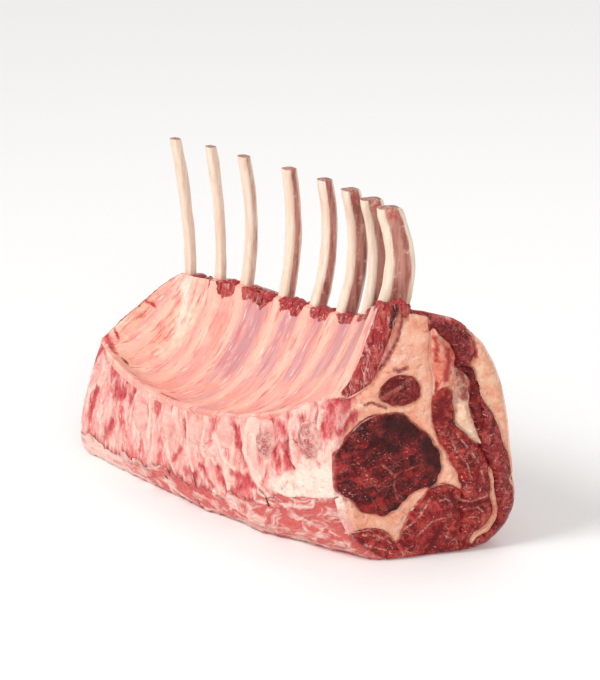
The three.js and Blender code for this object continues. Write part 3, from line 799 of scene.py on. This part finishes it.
wall, data = lofted("rib_wall_meat", wall_rings, shares, 0.8, wall_relief)
step = np.tile(np.arange(len(wall_rings[0])), len(shares))
skin_count = len(step)
t = np.zeros(len(data["share"]))
t[:skin_count] = np.interp(step, np.arange(len(WALL_STEPS)), WALL_STEPS)
rib_here = np.array([on_rib(s, np.array([u]))[0] for s, u in zip(data["share"], t)])
top_here = np.array([on_rib(s, np.array([1.0]))[0] for s in data["share"]])
is_lining = np.zeros(len(t))
is_lining[:skin_count] = step < len(WALL_STEPS)
along_top = np.stack([data["share"] * LENGTH, 0 * t, 0 * t], 1)
gap_depth = 0.055 + 0.06 * uneven(along_top, 9, 2, shift=2) + 0.02 * uneven(along_top, 2.2, 2)
torn = np.clip((t - (1 - gap_depth * np.clip((0.7 - top_here) * 2.4, 0, 1) ** 0.5)) / 0.02 + 0.5, 0, 1)
torn = torn * (data["share"] > WHOLE_UNTIL)
on_top = np.zeros(len(t))
is_top = (step >= len(WALL_STEPS)) & (step < len(WALL_STEPS) + TOP_STEPS + len(WALL_SHOULDER))
on_top[:skin_count] = is_top * (1 - 0.9 * np.clip(top_here[:skin_count] * 2 - 0.8, 0, 1))
end_cut = data["into"] >= 0
flesh_here = np.maximum(np.where(is_lining > 0, torn, on_top), end_cut * 1.0)
mark(wall, "torn", flesh_here)
mark(wall, "rib", rib_here * is_lining)
meaty = np.clip((data["share"] - 0.2) / 0.1, 0, 1) * np.clip((t - 0.3) / 0.25, 0, 1)
mark(wall, "between", (1 - rib_here) * meaty * is_lining)
on_lining = chine_mm(data["share"], LINING_MM * t)
mark(wall, "nick", strokes(on_lining, LINING_NICKS) * is_lining)
mark(wall, "hole", strokes(on_lining, LINING_HOLE) * is_lining)
mark(wall, "pale_end", np.clip((0.32 - data["share"]) / 0.25, 0, 1) * is_lining)

# The lining: a thin wet membrane, pale peach over fat, paler over the ribs and violet-grey where the
# meat between them shows through. Torn or cut, the wall is bright wet red meat with pale threads and
# painted glints.
lining_skin, tree, spots = start_material("rib_cage_membrane")
along_grain = {"Rotation": (0.5, 0.5, -0.1), "Scale": (1, 0.16, 0.16)}
grain = add(tree, "Mapping", along_grain, Vector=spots), "Vector"
strands = add(tree, "Mapping", {"Rotation": (0.2, 0, 0), "Scale": (1, 1, 0.3)}, Vector=spots), "Vector"
far_fat = layered("F0A999", ("F8CDB4", lumps(spots, 9, 0.4, 0.6)))
red = layered(
    "BC262C",
    ("E96A60", lumps(strands, 2.6, 0.42, 0.58, warp=1)),
    ("5A0810", lumps(strands, 4.2, 0.5, 0.64, warp=1)),
    ("F4BDB2", lumps(strands, 2.4, 0.55, 0.66, warp=1.5)),
    # Tiny pale specks: painted highlights that stand in for glints on the wet red meat.
    ("F6CFC4", lumps(spots, 1.6, 0.64, 0.74, detail=3)),
)
is_torn = region("torn", spots, 1.4, 0.5, 0.4, 0.6)
shade = layered(
    "EE9A8A",
    ("F4AE9C", lumps(spots, 16, 0.4, 0.6)),
    (far_fat, region("pale_end", spots, 6, 0.6, 0.3, 0.8)),
    ("C98D90", region("between", grain, 4, 1.5, 0.65, 1.35)),
    ("D9A09C", lumps(grain, 5, 0.52, 0.7, detail=2)),
    ("F6BDA8", layered(0, (region("rib", spots, 4, 0.35, 0.25, 0.85), 0.75))),
    ("DC6E68", lumps(grain, 1.9, 0.55, 0.7, detail=3)),
    ("FAD9C8", lumps(grain, 1.4, 0.6, 0.72, detail=3)),
    ("C4353A", region("nick", spots, 2.6, 1.7, 0.4, 1.25)),
    ("7A1416", region("hole", spots, 2.2, 1.4, 0.4, 1.1)),
    (red, is_torn),
)
gloss = layered(0.32, (0.46, lumps(spots, 4, 0.4, 0.6)), (0.2, is_torn))
ridges = lumps(grain, 1.2, 0.3, 0.7, detail=3)
crumbs = layered(0.5, (lumps(spots, 1.1, 0.3, 0.7, detail=5, warp=1), is_torn))
finished(shade, gloss, [(ridges, 0.2), (crumbs, 1.0)], wet=0.25, shine=0.35)
close_seams(wall)
wall.data.materials.append(lining_skin)
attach(wall, "root")
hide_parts("rib_wall")

# The muscles and the sheets of fat between them. They run the length of the rack, show at both cuts
# and, where they reach it, on the outside. Their fibres run lengthwise, so a cut shows them end on.


def flesh(name, dark, body, light, thread, grain_mm, bright, film_red="C9504C", film_pale="EFB0A2"):
    """Raw meat: bundles of fibres a few mm wide, pale threads of fat between them, wet in places, and tiny
    pale specks painted on as glints.
    """
    made, tree, spots = start_material(name)
    turned = add(tree, "Mapping", {"Rotation": (0, 0, 0.42), "Scale": (0.22, 1, 1)}, Vector=spots), "Vector"
    cells = add(tree, "TexNoise", {"Scale": per(grain_mm), "Detail": 2}, Vector=turned)
    warped = layered(turned, ((cells, "Color"), 0.0022))
    settings = {"feature": "DISTANCE_TO_EDGE", "Scale": per(grain_mm * 1.3)}
    edges = add(tree, "TexVoronoi", settings, Vector=warped)
    lines = add(tree, "ValToRGB", {"stops": [(0.0, 1), (0.07, 0)]}, Fac=(edges, "Distance")), "Color"
    threads = layered(0, (lines, lumps(turned, grain_mm * 3, 0.5, 0.66)))
    # Tiny pale specks: painted highlights that stand in for glints on the wet meat.
    painted_glints = layered(0, (lumps(turned, 0.9, 0.62, 0.7, detail=2), lumps(spots, 6, 0.46, 0.6)))
    marble = layered(0, (region("vein", spots, 1.2, 1.5, 0.45, 1.25), lumps(spots, 4, 0.36, 0.6, warp=1)))
    along_rack = {"Rotation": (0, 0.2, 0.2), "Scale": (0.4, 1, 0.7)}
    long_way = add(tree, "Mapping", along_rack, Vector=spots), "Vector"
    film = layered(
        film_red,
        (film_pale, lumps(long_way, 4.5, 0.46, 0.6, detail=8, warp=1.2)),
        (body, layered(0, (lumps(long_way, 6, 0.52, 0.8, detail=9, warp=1), 0.7))),
        (film_pale, region("pale_end", long_way, 3.5, 1.8, 0.5, 1.5)),
    )
    shade = layered(
        dark,
        (body, lumps(turned, grain_mm * 2.4, 0.36, 0.6, warp=0.6)),
        (light, lumps(turned, grain_mm, 0.55 - 0.1 * bright, 0.78, detail=6)),
        (light, lumps(turned, 7, 0.48, 0.62, detail=3, warp=0.8)),
        (dark, lumps(turned, 4.6, 0.48, 0.62, detail=5, warp=1.2)),
        (light, lumps(turned, 2.6, 0.56, 0.7, detail=6, warp=1.6)),
        (thread, layered(0, (threads, 0.75))),
        ("F3C6BA", painted_glints),
        (thread, marble),
        # Darker where a piece's shade mark lies: painted shade on the loin eye, and dark patches on the cap
        # and lower muscles.
        (dark, region("shade", spots, 3.0, 1.0, 0.35, 1.2)),
        (film, region("outside", spots, 2.5, 0.7, 0.3, 0.8)),
    )
    gloss = layered(0.2, (0.5, lumps(spots, 1.6, 0.38, 0.6)))
    bundles = lumps(turned, grain_mm, 0.3, 0.7, detail=5)
    fibres = lumps(turned, 0.6, 0.3, 0.7, detail=3)
    finished(shade, gloss, [(bundles, 0.8), (fibres, 0.25)], wet=0.2, flesh=0.08, shine=0.2)
    return made


def fat_sheet(name, pale, body, warm, red):
    """A sheet of soft fat with warmer lumps and a little blood on it."""
    made, tree, spots = start_material(name)
    shade = layered(
        body,
        (pale, lumps(spots, 5, 0.38, 0.62)),
        (warm, lumps(spots, 4, 0.52, 0.72, warp=1)),
        (red, region("shade", spots, 2.2, 1.8, 0.3, 1.4)),
    )
    along_rack = {"Rotation": (0, 0.2, 0.2), "Scale": (0.35, 1, 0.6)}
    long_way = add(tree, "Mapping", along_rack, Vector=spots), "Vector"
    cover = layered(
        "F7DECE",
        ("F1C3B0", lumps(long_way, 14, 0.4, 0.6, detail=3, warp=0.8)),
        ("E59C8C", lumps(long_way, 5, 0.58, 0.74, detail=6, warp=1.4)),
        ("C9504C", lumps(long_way, 2.6, 0.66, 0.76, detail=6, warp=2)),
        ("FBECE2", lumps(long_way, 7, 0.56, 0.7, detail=4, warp=0.6)),
    )
    is_cover = region("outside", spots, 2.5, 0.7, 0.3, 0.8)
    shade = layered(shade, (cover, is_cover))
    gloss = layered(0.3, (0.55, lumps(spots, 2.5, 0.35, 0.6)))
    coarse = lumps(spots, 2.4, 0.3, 0.7, detail=5)
    folds = layered(coarse, (lumps(long_way, 6, 0.25, 0.75, detail=4), is_cover))
    fine = lumps(spots, 0.7, 0.3, 0.7, detail=3)
    finished(shade, gloss, [(folds, 0.6), (fine, 0.1)], wet=0.12)
    return made


EYE_MEAT = flesh("raw_loin_eye", "3E0508", "7C1014", "A62A28", "C0685C", 2.2, 0.35)
CAP_MEAT = flesh("raw_cap_muscle", "741014", "A8201E", "CC5046", "E6A090", 1.8, 0.6)
LEAF_MEAT = flesh("raw_leaf_muscle", "5A0C10", "881A1A", "AA3A34", "CC7A6C", 1.8, 0.4)
LOWER_MEAT = flesh("raw_lower_muscle", "6E0E12", "A01E1E", "C84A42", "F0B2A0", 2.2, 0.6, "D9655F", "F9CFC2")
OUTER_MEAT = flesh("raw_outer_muscle", "70141A", "A42A2C", "C4504C", "E2A297", 2.0, 0.6)
TOP_MEAT = flesh("raw_top_muscle", "661016", "9E2628", "C25450", "DC9C92", 1.9, 0.6)
FLAP_FAT = fat_sheet("soft_flap_fat", "F2B298", "E2846A", "CE5844", "B0302C")
FINGER_FAT = fat_sheet("cream_finger_fat", "F6D9BE", "EDBE9F", "DE9478", "9C443C")
SEAM_SHEET = fat_sheet("seam_fat_sheet", "F3BEA0", "E8A080", "D67A60", "B84A40")
OUTER_SHEET = fat_sheet("outer_fat_sheet", "F5C6A8", "EBA080", "DC7A5C", "B4423E")

EYE_VEINS = [
    (0.8, [(23.5, 44), (27, 41), (29.6, 38), (29.2, 34), (30, 31), (31.3, 26)]),
    (0.4, [(15.7, 35), (20, 35.6), (26, 33.8), (29.4, 35)]),
    (0.4, [(29.6, 39), (34, 40), (42, 42.5)]),
    (0.4, [(19.9, 51.6), (26, 53), (31.6, 51.9), (36, 49)]),
    (0.35, [(31, 30), (34, 27)]),
    (0.35, [(12, 44), (18, 43), (24, 44)]),
]
# Painted shade on the loin eye: dark along its top and upper sides, under the fat's edge, and one small
# dark spot low down.
EYE_PAINTED_SHADE = [
    (7.0, [(26, 62), (38, 57)]),
    (6.5, [(43, 52), (48, 41)]),
    (3.0, [(28, 23), (31, 24)]),
    (5.0, [(22, 55), (30, 50)]),
]
CAP_VEINS = [
    (0.6, [(57, 24.5), (64, 24), (71, 25)]),
    (0.6, [(60, 20), (66, 21), (70, 17), (69, 11)]),
    (0.5, [(62, 16), (66, 16.5), (67.5, 13)]),
    (0.6, [(52, 56), (56, 47), (61, 41), (63, 34)]),
    (0.7, [(56, 55), (62, 47), (67, 40), (69, 32)]),
]
CAP_DARK = [(1.4, [(56.6, 23.2), (64, 22.6), (71.7, 23)]), (3, [(47, 62), (50, 71)])]
LOWER_VEINS = [
    (0.7, [(33, 12), (40, 18), (46, 27)]),
    (0.6, [(8, 10), (18, 8), (26, 5)]),
    (0.6, [(40, 10), (46, 16), (55, 18)]),
    (0.6, [(45, 24), (52, 26), (58, 22)]),
    (0.6, [(15, 13), (22, 12), (28, 8)]),
]
LOWER_DARK = [(1.8, [(50.5, 14), (47.3, 7), (43.6, 1)]), (2.5, [(54, 28), (57, 20)])]
SIDE_VEINS = [(1.3, [(22.4, 72), (25.4, 74.6), (30, 77), (36.2, 81)])]
FLAP_RED = [
    (2.4, [(51, 92), (51.3, 86), (50.4, 80)]),
    (1.3, [(45.6, 98), (46.4, 88)]),
    (1.3, [(46.5, 78), (47, 74)]),
]
FINGER_RED = [(3.2, [(57, 81), (59, 76), (58.5, 71)])]
OUTER_RED = [(3.0, [(66, 103), (72, 92)]), (1.4, [(62, 96), (64, 88)])]
NONE = []

pieces = {
    "loin_eye": ("loin_eye_muscle", EYE_MEAT, "dark_muscle", 0.55, EYE_VEINS, EYE_PAINTED_SHADE),
    "side_muscle": ("side_muscle_island", LEAF_MEAT, "dark_muscle", 0.6, SIDE_VEINS, NONE),
    "cap_muscle": ("cap_muscle_sheet", CAP_MEAT, "muscle", 0.6, CAP_VEINS, CAP_DARK),
    "fat_flap": ("fat_flap_fold", FLAP_FAT, "fat", 0.6, NONE, FLAP_RED),
    "fat_finger": ("fat_finger_strip", FINGER_FAT, "fat", 0.6, NONE, FINGER_RED),
    "cap_leaf": ("cap_leaf_muscle", LEAF_MEAT, "dark_muscle", 0.6, NONE, NONE),
    "lower_muscle": ("lower_muscle_slab", LOWER_MEAT, "muscle", 0.8, LOWER_VEINS, LOWER_DARK),
    "seam_fat": ("seam_fat_layer", SEAM_SHEET, "fat", 0.7, NONE, NONE),
    "top_muscle": ("top_muscle_roll", TOP_MEAT, "muscle", 0.8, NONE, NONE),
    "outer_fat": ("outer_fat_layer", OUTER_SHEET, "fat", 0.8, NONE, OUTER_RED),
    "outer_muscle": ("outer_muscle_sheet", OUTER_MEAT, "muscle", 0.8, NONE, NONE),
}
order = list(LAYERS)
for node, (name, finish, slot, spacing, veins, darks) in pieces.items():
    upper = ["rib_wall", *order[: order.index(node)]]
    high = LAYERS[node][2]
    rings = layer_rings[node]
    at = [shares[k] for k in layer_stations[node]]

    def relief(points, end):
        return cut_relief(points, end, rings[-end], high, upper)

    piece, data = lofted(name, rings, at, spacing, relief)
    mark(piece, "outside", data["into"] < 0)
    mark(piece, "pale_end", np.clip((0.5 - data["share"]) / 0.35, 0, 1))
    here = data["share"] > NEAR_END
    for label, lines in (("vein", veins), ("shade", darks)):
        amount = np.zeros(len(here))
        if lines:
            amount[here] = strokes(data["section"][here], lines)
        mark(piece, label, amount)
    close_seams(piece)
    piece.data.materials.append(finish)
    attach(piece, "root")
    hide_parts(node)

# The backbone's sawn bodies: cut discs of bone in the rack's side. The saw opened their spongy inside,
# which is red with marrow between thin white walls, and their rims are hard and grey-pink.
sawn_bone, tree, spots = start_material("sawn_spongy_bone")
cells = add(tree, "TexVoronoi", {"feature": "DISTANCE_TO_EDGE", "Scale": per(1.2)}, Vector=spots)
walls = add(tree, "ValToRGB", {"stops": [(0.02, 1), (0.16, 0)]}, Fac=(cells, "Distance")), "Color"
porous = region("porous", spots, 1.8, 0.9, 0.35, 0.7)
marrow = layered(
    "CC6062",
    ("A83038", lumps(spots, 1.6, 0.4, 0.65)),
    ("EFB8AC", lumps(spots, 2.4, 0.48, 0.62, detail=6)),
    ("F2C4B8", layered(0, (walls, 0.6))),
)
hard = layered("DFA096", ("EDB9AC", lumps(spots, 3.4, 0.4, 0.62)))
shade = layered(hard, (marrow, porous))
gloss = layered(0.5, (0.3, porous))
pits = layered(0.8, (walls, porous))
grit = lumps(spots, 1.2, 0.3, 0.7)
finished(shade, gloss, [(pits, 0.35), (grit, 0.2)], wet=0.1)

# Each body: share of the length, height, and how far the saw opened its sponge.
BODIES = [
    (0.293, 33, 0.15),
    (0.413, 36, 0.1),
    (0.53, 39, 0.15),
    (0.646, 43, 0.2),
    (0.789, 46.5, 0.75),
    (0.93, 54, 0.8),
]
BODY_INSET = 2.6
# How far the opened sponge reaches from a body's middle, in mm along, into and up the rack.
SPONGE = (6.2, 30, 9)
for number, (share, height, opened) in enumerate(BODIES, 1):
    centre = place(np.array(BODY_INSET), height, share) * 0.001
    bpy.ops.mesh.primitive_uv_sphere_add(segments=48, ring_count=24, radius=1, location=centre)
    bone = bpy.context.active_object
    bone.name = f"backbone_body_{number}"
    bone.scale = (0.0064 + 0.0007 * math.sin(number * 2.3), 0.0046, 0.0092 + 0.001 * math.sin(number * 1.7))
    bpy.ops.object.transform_apply(location=True, rotation=False, scale=True)
    places = np.array([v.co for v in bone.data.vertices]) * 1000
    swell = 1 + 0.16 * uneven(places, 4, 4, shift=number)
    middle = centre * 1000
    places = middle + (places - middle) * swell[:, None]
    bone.data.vertices.foreach_set("co", (places * 0.001).astype(np.float32).ravel())
    reach = np.linalg.norm((places - middle) / SPONGE, axis=1)
    mark(bone, "porous", np.clip(opened * 1.6 - reach * 0.9, 0, 1))
    bpy.ops.object.shade_smooth()
    bone.data.materials.append(sawn_bone)
    bone.select_set(False)
    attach(bone, "root")
    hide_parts(f"chine_bone_{number}")

# The rib bones: scraped clean of meat above the wall and sawn off level. Each is flat and curved, cream
# on its inner side and red-brown on its flanks, partly where a little marrow and blood dried and partly
# painted shade, stronger on the ribs nearer the shoulder cut.
RIBS = [
    (0.04, 5.4, 4.6, 0.95, -8, 2.2, 148.5),
    (0.176, 5.0, 4.4, 0.95, -5, 2.2, 148.5),
    (0.286, 5.8, 5.2, 0.9, -1, 4, 147),
    (0.447, 6.4, 6.8, 0.85, 2, 3.5, 146.5),
    (0.567, 6.2, 7.4, 0.8, 4, 5, 146),
    (0.668, 6.2, 9.4, 0.82, 2, 5.5, 146),
    (0.785, 6.0, 11.2, 0.85, -1, 5, 147.5),
    (0.932, 6.2, 13.2, 0.74, -2, 5, 151),
]
RIB_COVER = 1.2
RIB_RINGS = 40
RIB_SIDES = 40
ROOT_STEPS = [0.6, 0.75, 0.88, 1.0]
SHAFT_STEPS = [0.12, 0.24, 0.35, 0.46, 0.57, 0.68, 0.78, 0.89, 1.0]
SQUARISH = 0.55
SAWN_EDGE = 0.5

bone, tree, spots = start_material("scraped_rib_bone")
long_way = add(tree, "Mapping", {"Scale": (1, 1, 0.12)}, Vector=spots), "Vector"
flank_stain_and_shade = layered(
    "C88A7A",
    ("9C5548", lumps(long_way, 2.6, 0.42, 0.62, detail=6)),
    ("D9A593", lumps(spots, 3.2, 0.56, 0.7)),
)
sponge = layered("8A3A34", ("D9A899", lumps(spots, 0.7, 0.42, 0.6)))
shade = layered(
    "F0DECB",
    ("E6C9B2", lumps(long_way, 2.4, 0.4, 0.64)),
    (flank_stain_and_shade, region("flank_stain_and_shade", long_way, 1.6, 0.55, 0.38, 0.62)),
    ("B23A34", region("stain", spots, 1.5, 0.9, 0.5, 0.85)),
    ("E9A793", region("foot", spots, 2.0, 0.7, 0.4, 0.9)),
    (sponge, region("sawn_end", spots, 1.0, 0.3, 0.4, 0.6)),
)
gloss = layered(0.36, (0.55, lumps(long_way, 1.6, 0.4, 0.6)))
scrapes = lumps(long_way, 0.9, 0.3, 0.7, detail=4)
finished(shade, gloss, [(scrapes, 0.2), (lumps(spots, 0.6, 0.3, 0.7), 0.08)], wet=0.08, flesh=0.05)

for number, (share, thick, deep, taper, tip_inset, bow, tip) in enumerate(RIBS, 1):
    handles = lining(share)
    under = RIB_COVER + deep / 2
    root, run = bezier(handles, ROOT_STEPS)
    line = list(root + np.stack([run[:, 1], -run[:, 0]], 1) * under)
    foot = line[-1]
    for t in SHAFT_STEPS:
        line.append(foot + (tip_inset * t + bow * 4 * t * (1 - t), (tip - foot[1]) * t))
    line = np.array(line)
    reach = np.concatenate([[0], np.cumsum(np.linalg.norm(np.diff(line, axis=0), axis=1))])
    steps = np.concatenate([np.linspace(0, 1, RIB_RINGS)[:-1], [1 - SAWN_EDGE / reach[-1], 1]])
    middle = np.stack([np.interp(steps * reach[-1], reach, line[:, k]) for k in (0, 1)], 1)
    for _ in range(3):
        middle[1:-1] = (middle[:-2] + middle[1:-1] * 2 + middle[2:]) / 4
    run = np.gradient(middle, axis=0)
    run = run / np.linalg.norm(run, axis=1, keepdims=True)
    angle = 2 * np.pi * (np.arange(RIB_SIDES) + 0.5) / RIB_SIDES
    across, sideways = (np.sign(v) * np.abs(v) ** SQUARISH for v in (np.cos(angle), np.sin(angle)))
    left = 1 + (taper - 1) * np.clip((steps - 0.45) / 0.55, 0, 1)
    left[-1] = left[-1] * 0.94
    waist = 1 + 0.07 * np.array([noise.noise((s * 6, number * 3.1, 0)) for s in steps])
    half_deep = deep / 2 * left * waist
    half_thick = thick / 2 * waist * np.where(steps == 1, 0.93, 1)
    inset = middle[:, 0, None] + run[:, 1, None] * across * half_deep[:, None]
    height = middle[:, 1, None] - run[:, 0, None] * across * half_deep[:, None]
    level = np.where(steps[:, None] == 1, tip, tip - SAWN_EDGE)
    height = np.where(steps[:, None] > 0.985, level, np.minimum(height, tip - 0.6))
    turn = along(TURN, share)
    square = np.array([math.cos(turn), -math.sin(turn), 0])
    points = place(inset, height, share) + square * (sideways * half_thick[:, None])[..., None]
    places = points.reshape(-1, 3)
    rough = uneven(places, 5, 3, stretch=(1, 1, 0.35), shift=number) * 0.32
    centre = place(middle[:, 0], middle[:, 1], share)[:, None]
    out = points - centre
    out = out / np.maximum(np.linalg.norm(out, axis=2, keepdims=True), 1e-6)
    points = points + out * rough.reshape(points.shape[:2])[..., None]
    points[..., 2] = np.minimum(points[..., 2], tip)
    faces = tube_faces(len(steps), RIB_SIDES)
    ends = np.array([points[0].mean(0), points[-1].mean(0)])
    total = len(steps) * RIB_SIDES
    for k in range(RIB_SIDES):
        faces.append([k, (k + 1) % RIB_SIDES, total])
        faces.append([total - RIB_SIDES + k, total - RIB_SIDES + (k + 1) % RIB_SIDES, total + 1])
    everything = np.concatenate([points.reshape(-1, 3), ends])
    rib = closed_mesh(f"rib_bone_{number}", everything, faces)
    inner_side = np.tile(-across, len(steps)) > 0.93
    facing = np.tile(np.abs(sideways) * np.clip(1.6 - 1.7 * np.abs(across), 0, 1), len(steps))
    rise = np.clip((everything[:, 2] - foot[1]) / (tip - foot[1]), 0, 1)
    strength = np.clip((number - 1.5) / 4.5, 0.1, 1)
    # The flanks' red-brown: dried marrow and blood, plus painted shade that grows stronger with the rib's
    # number.
    mark(rib, "flank_stain_and_shade", np.concatenate([np.where(inner_side, 0, facing * (0.3 + 0.6 * strength)), [0, 0]]))
    top_stain = stroke(np.stack([rise, rise * 0], 1), [(0.93, 0)], 0.09)
    mark(rib, "stain", top_stain * np.concatenate([facing * 0.7, [0, 0]]) * strength)
    mark(rib, "foot", np.exp(-((rise / 0.08) ** 2)) * 0.8)
    mark(rib, "sawn_end", (everything[:, 2] > tip - 0.3) * 1.0)
    close_seams(rib)
    rib.data.materials.append(bone)
    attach(rib, "root")
    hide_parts(f"rib_{number}")

# Shreds of meat left between the ribs' feet when they were scraped: small wet lumps on the wall's top.
rng = np.random.default_rng(12)
bpy.ops.mesh.primitive_ico_sphere_add(subdivisions=3, radius=1)
lump = bpy.context.active_object
ball = np.array([v.co for v in lump.data.vertices])
ball_faces = np.array([list(p.vertices) for p in lump.data.polygons])
bpy.data.objects.remove(lump)
shred_points, shred_faces = [], []
gaps = [(RIB_SHARES[k], RIB_SHARES[k + 1]) for k in range(1, len(RIB_SHARES) - 1)] + [(0.93, 0.995)]
for start, end in gaps:
    for _ in range(15):
        share = rng.uniform(start + 0.022, end - 0.022) if end < 0.99 else rng.uniform(0.955, 0.99)
        top = lining(share)[3]
        across = rng.uniform(0.0, 0.75)
        spot = place(*(top + (along(WALL_WIDTH, share) * across, -2 * across - 0.3)), share)
        size = rng.uniform(1.0, 2.3)
        stretch = size * np.array([rng.uniform(0.8, 1.4), rng.uniform(0.8, 1.3), rng.uniform(0.7, 1.3)])
        crumpled = ball * (1 + 0.38 * uneven(ball * 10, 7, 3, shift=rng.uniform(0, 90)))[:, None]
        turn = np.array(Matrix.Rotation(rng.uniform(0, 6.28), 3, "Z"))
        shred_faces.append(ball_faces + len(ball) * len(shred_points))
        shred_points.append(crumpled * stretch @ turn.T + spot)
shreds = closed_mesh("torn_meat_shreds", np.concatenate(shred_points), np.concatenate(shred_faces).tolist())

torn_meat, _, spots = start_material("torn_wet_meat")
shade = layered(
    "A81C26",
    ("D24446", lumps(spots, 1.6, 0.4, 0.62)),
    ("5E0B14", lumps(spots, 2.2, 0.55, 0.7, warp=1)),
    ("EDAA9C", lumps(spots, 1.5, 0.62, 0.72, warp=2)),
)
gloss = layered(0.15, (0.4, lumps(spots, 1.2, 0.4, 0.6)))
finished(shade, gloss, [(lumps(spots, 0.8, 0.3, 0.7), 0.5)], wet=0.4)
close_seams(shreds)
shreds.data.materials.append(torn_meat)
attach(shreds, "root")

# The studio: a plain white floor, soft boxes at the camera's left and right, and a pale surround.
bpy.ops.mesh.primitive_plane_add(size=6, location=(0, 0, -0.0002))
floor = bpy.context.active_object
floor.name = "studio_floor"
paper, _, spots = start_material("matt_white_paper")
shade = layered("FAF9F8", ("FBFAF9", lumps(spots, 4, 0.4, 0.6)))
matt = layered(0.85, (0.95, lumps(spots, 4, 0.4, 0.6)))
finished(shade, matt, [(lumps(spots, 3, 0.3, 0.7), 0.01)], flesh=0.0, shine=0.2)
floor.data.materials.append(paper)

TARGET = Vector((-0.007935, 0.011175, 0.070))
AZIMUTH, ELEVATION, DISTANCE = math.radians(50), math.radians(18), 0.9
FOCAL_PIXELS, PICTURE_HEIGHT = 1980, 680
level = math.cos(ELEVATION)
back = Vector((math.sin(AZIMUTH) * level, -math.cos(AZIMUTH) * level, math.sin(ELEVATION)))
eye = bpy.data.cameras.new("photo_camera")
eye.sensor_width = 36
eye.lens = FOCAL_PIXELS * eye.sensor_width / PICTURE_HEIGHT


def aimed(name, data, way, away):
    """An object of the studio that looks at the rack from a way and a distance in metres."""
    made = bpy.data.objects.new(name, data)
    bpy.context.scene.collection.objects.link(made)
    made.location = TARGET + way * away
    made.rotation_euler = way.to_track_quat("Z", "Y").to_euler()
    return made


bpy.context.scene.camera = aimed("photo_camera", eye, back, DISTANCE)

KEY_WAY = Vector((-0.30, -0.95, 0.85))
sun = bpy.data.lights.new("broad_key", "SUN")
sun.angle = math.radians(24)
sun.energy = 1.55
aimed("broad_key", sun, KEY_WAY, 1.0)

# Each soft box: the way it shines from, its distance and size in metres, and its power in watts.
SOFT_BOXES = {
    "glint_box": ((-0.30, -0.95, 0.85), 1.1, 0.25, 1.2),
    "fill_box": ((0.95, -0.6, 0.45), 1.3, 0.4, 4.2),
    "top_box": ((-0.1, 0.35, 1.0), 1.2, 0.6, 1.6),
}
for name, (way, away, size, power) in SOFT_BOXES.items():
    light = bpy.data.lights.new(name, "AREA")
    light.shape = "SQUARE"
    light.size = size
    light.energy = power
    aimed(name, light, Vector(way).normalized(), away)

surround = bpy.data.worlds.new("pale_surround")
surround.use_nodes = True
light = surround.node_tree.nodes["Background"].inputs
light["Color"].default_value = colour("FFFFFF")
light["Strength"].default_value = 0.55
bpy.context.scene.world = surround
bpy.context.scene.view_settings.view_transform = "Standard"
bpy.context.scene.view_settings.look = "None"
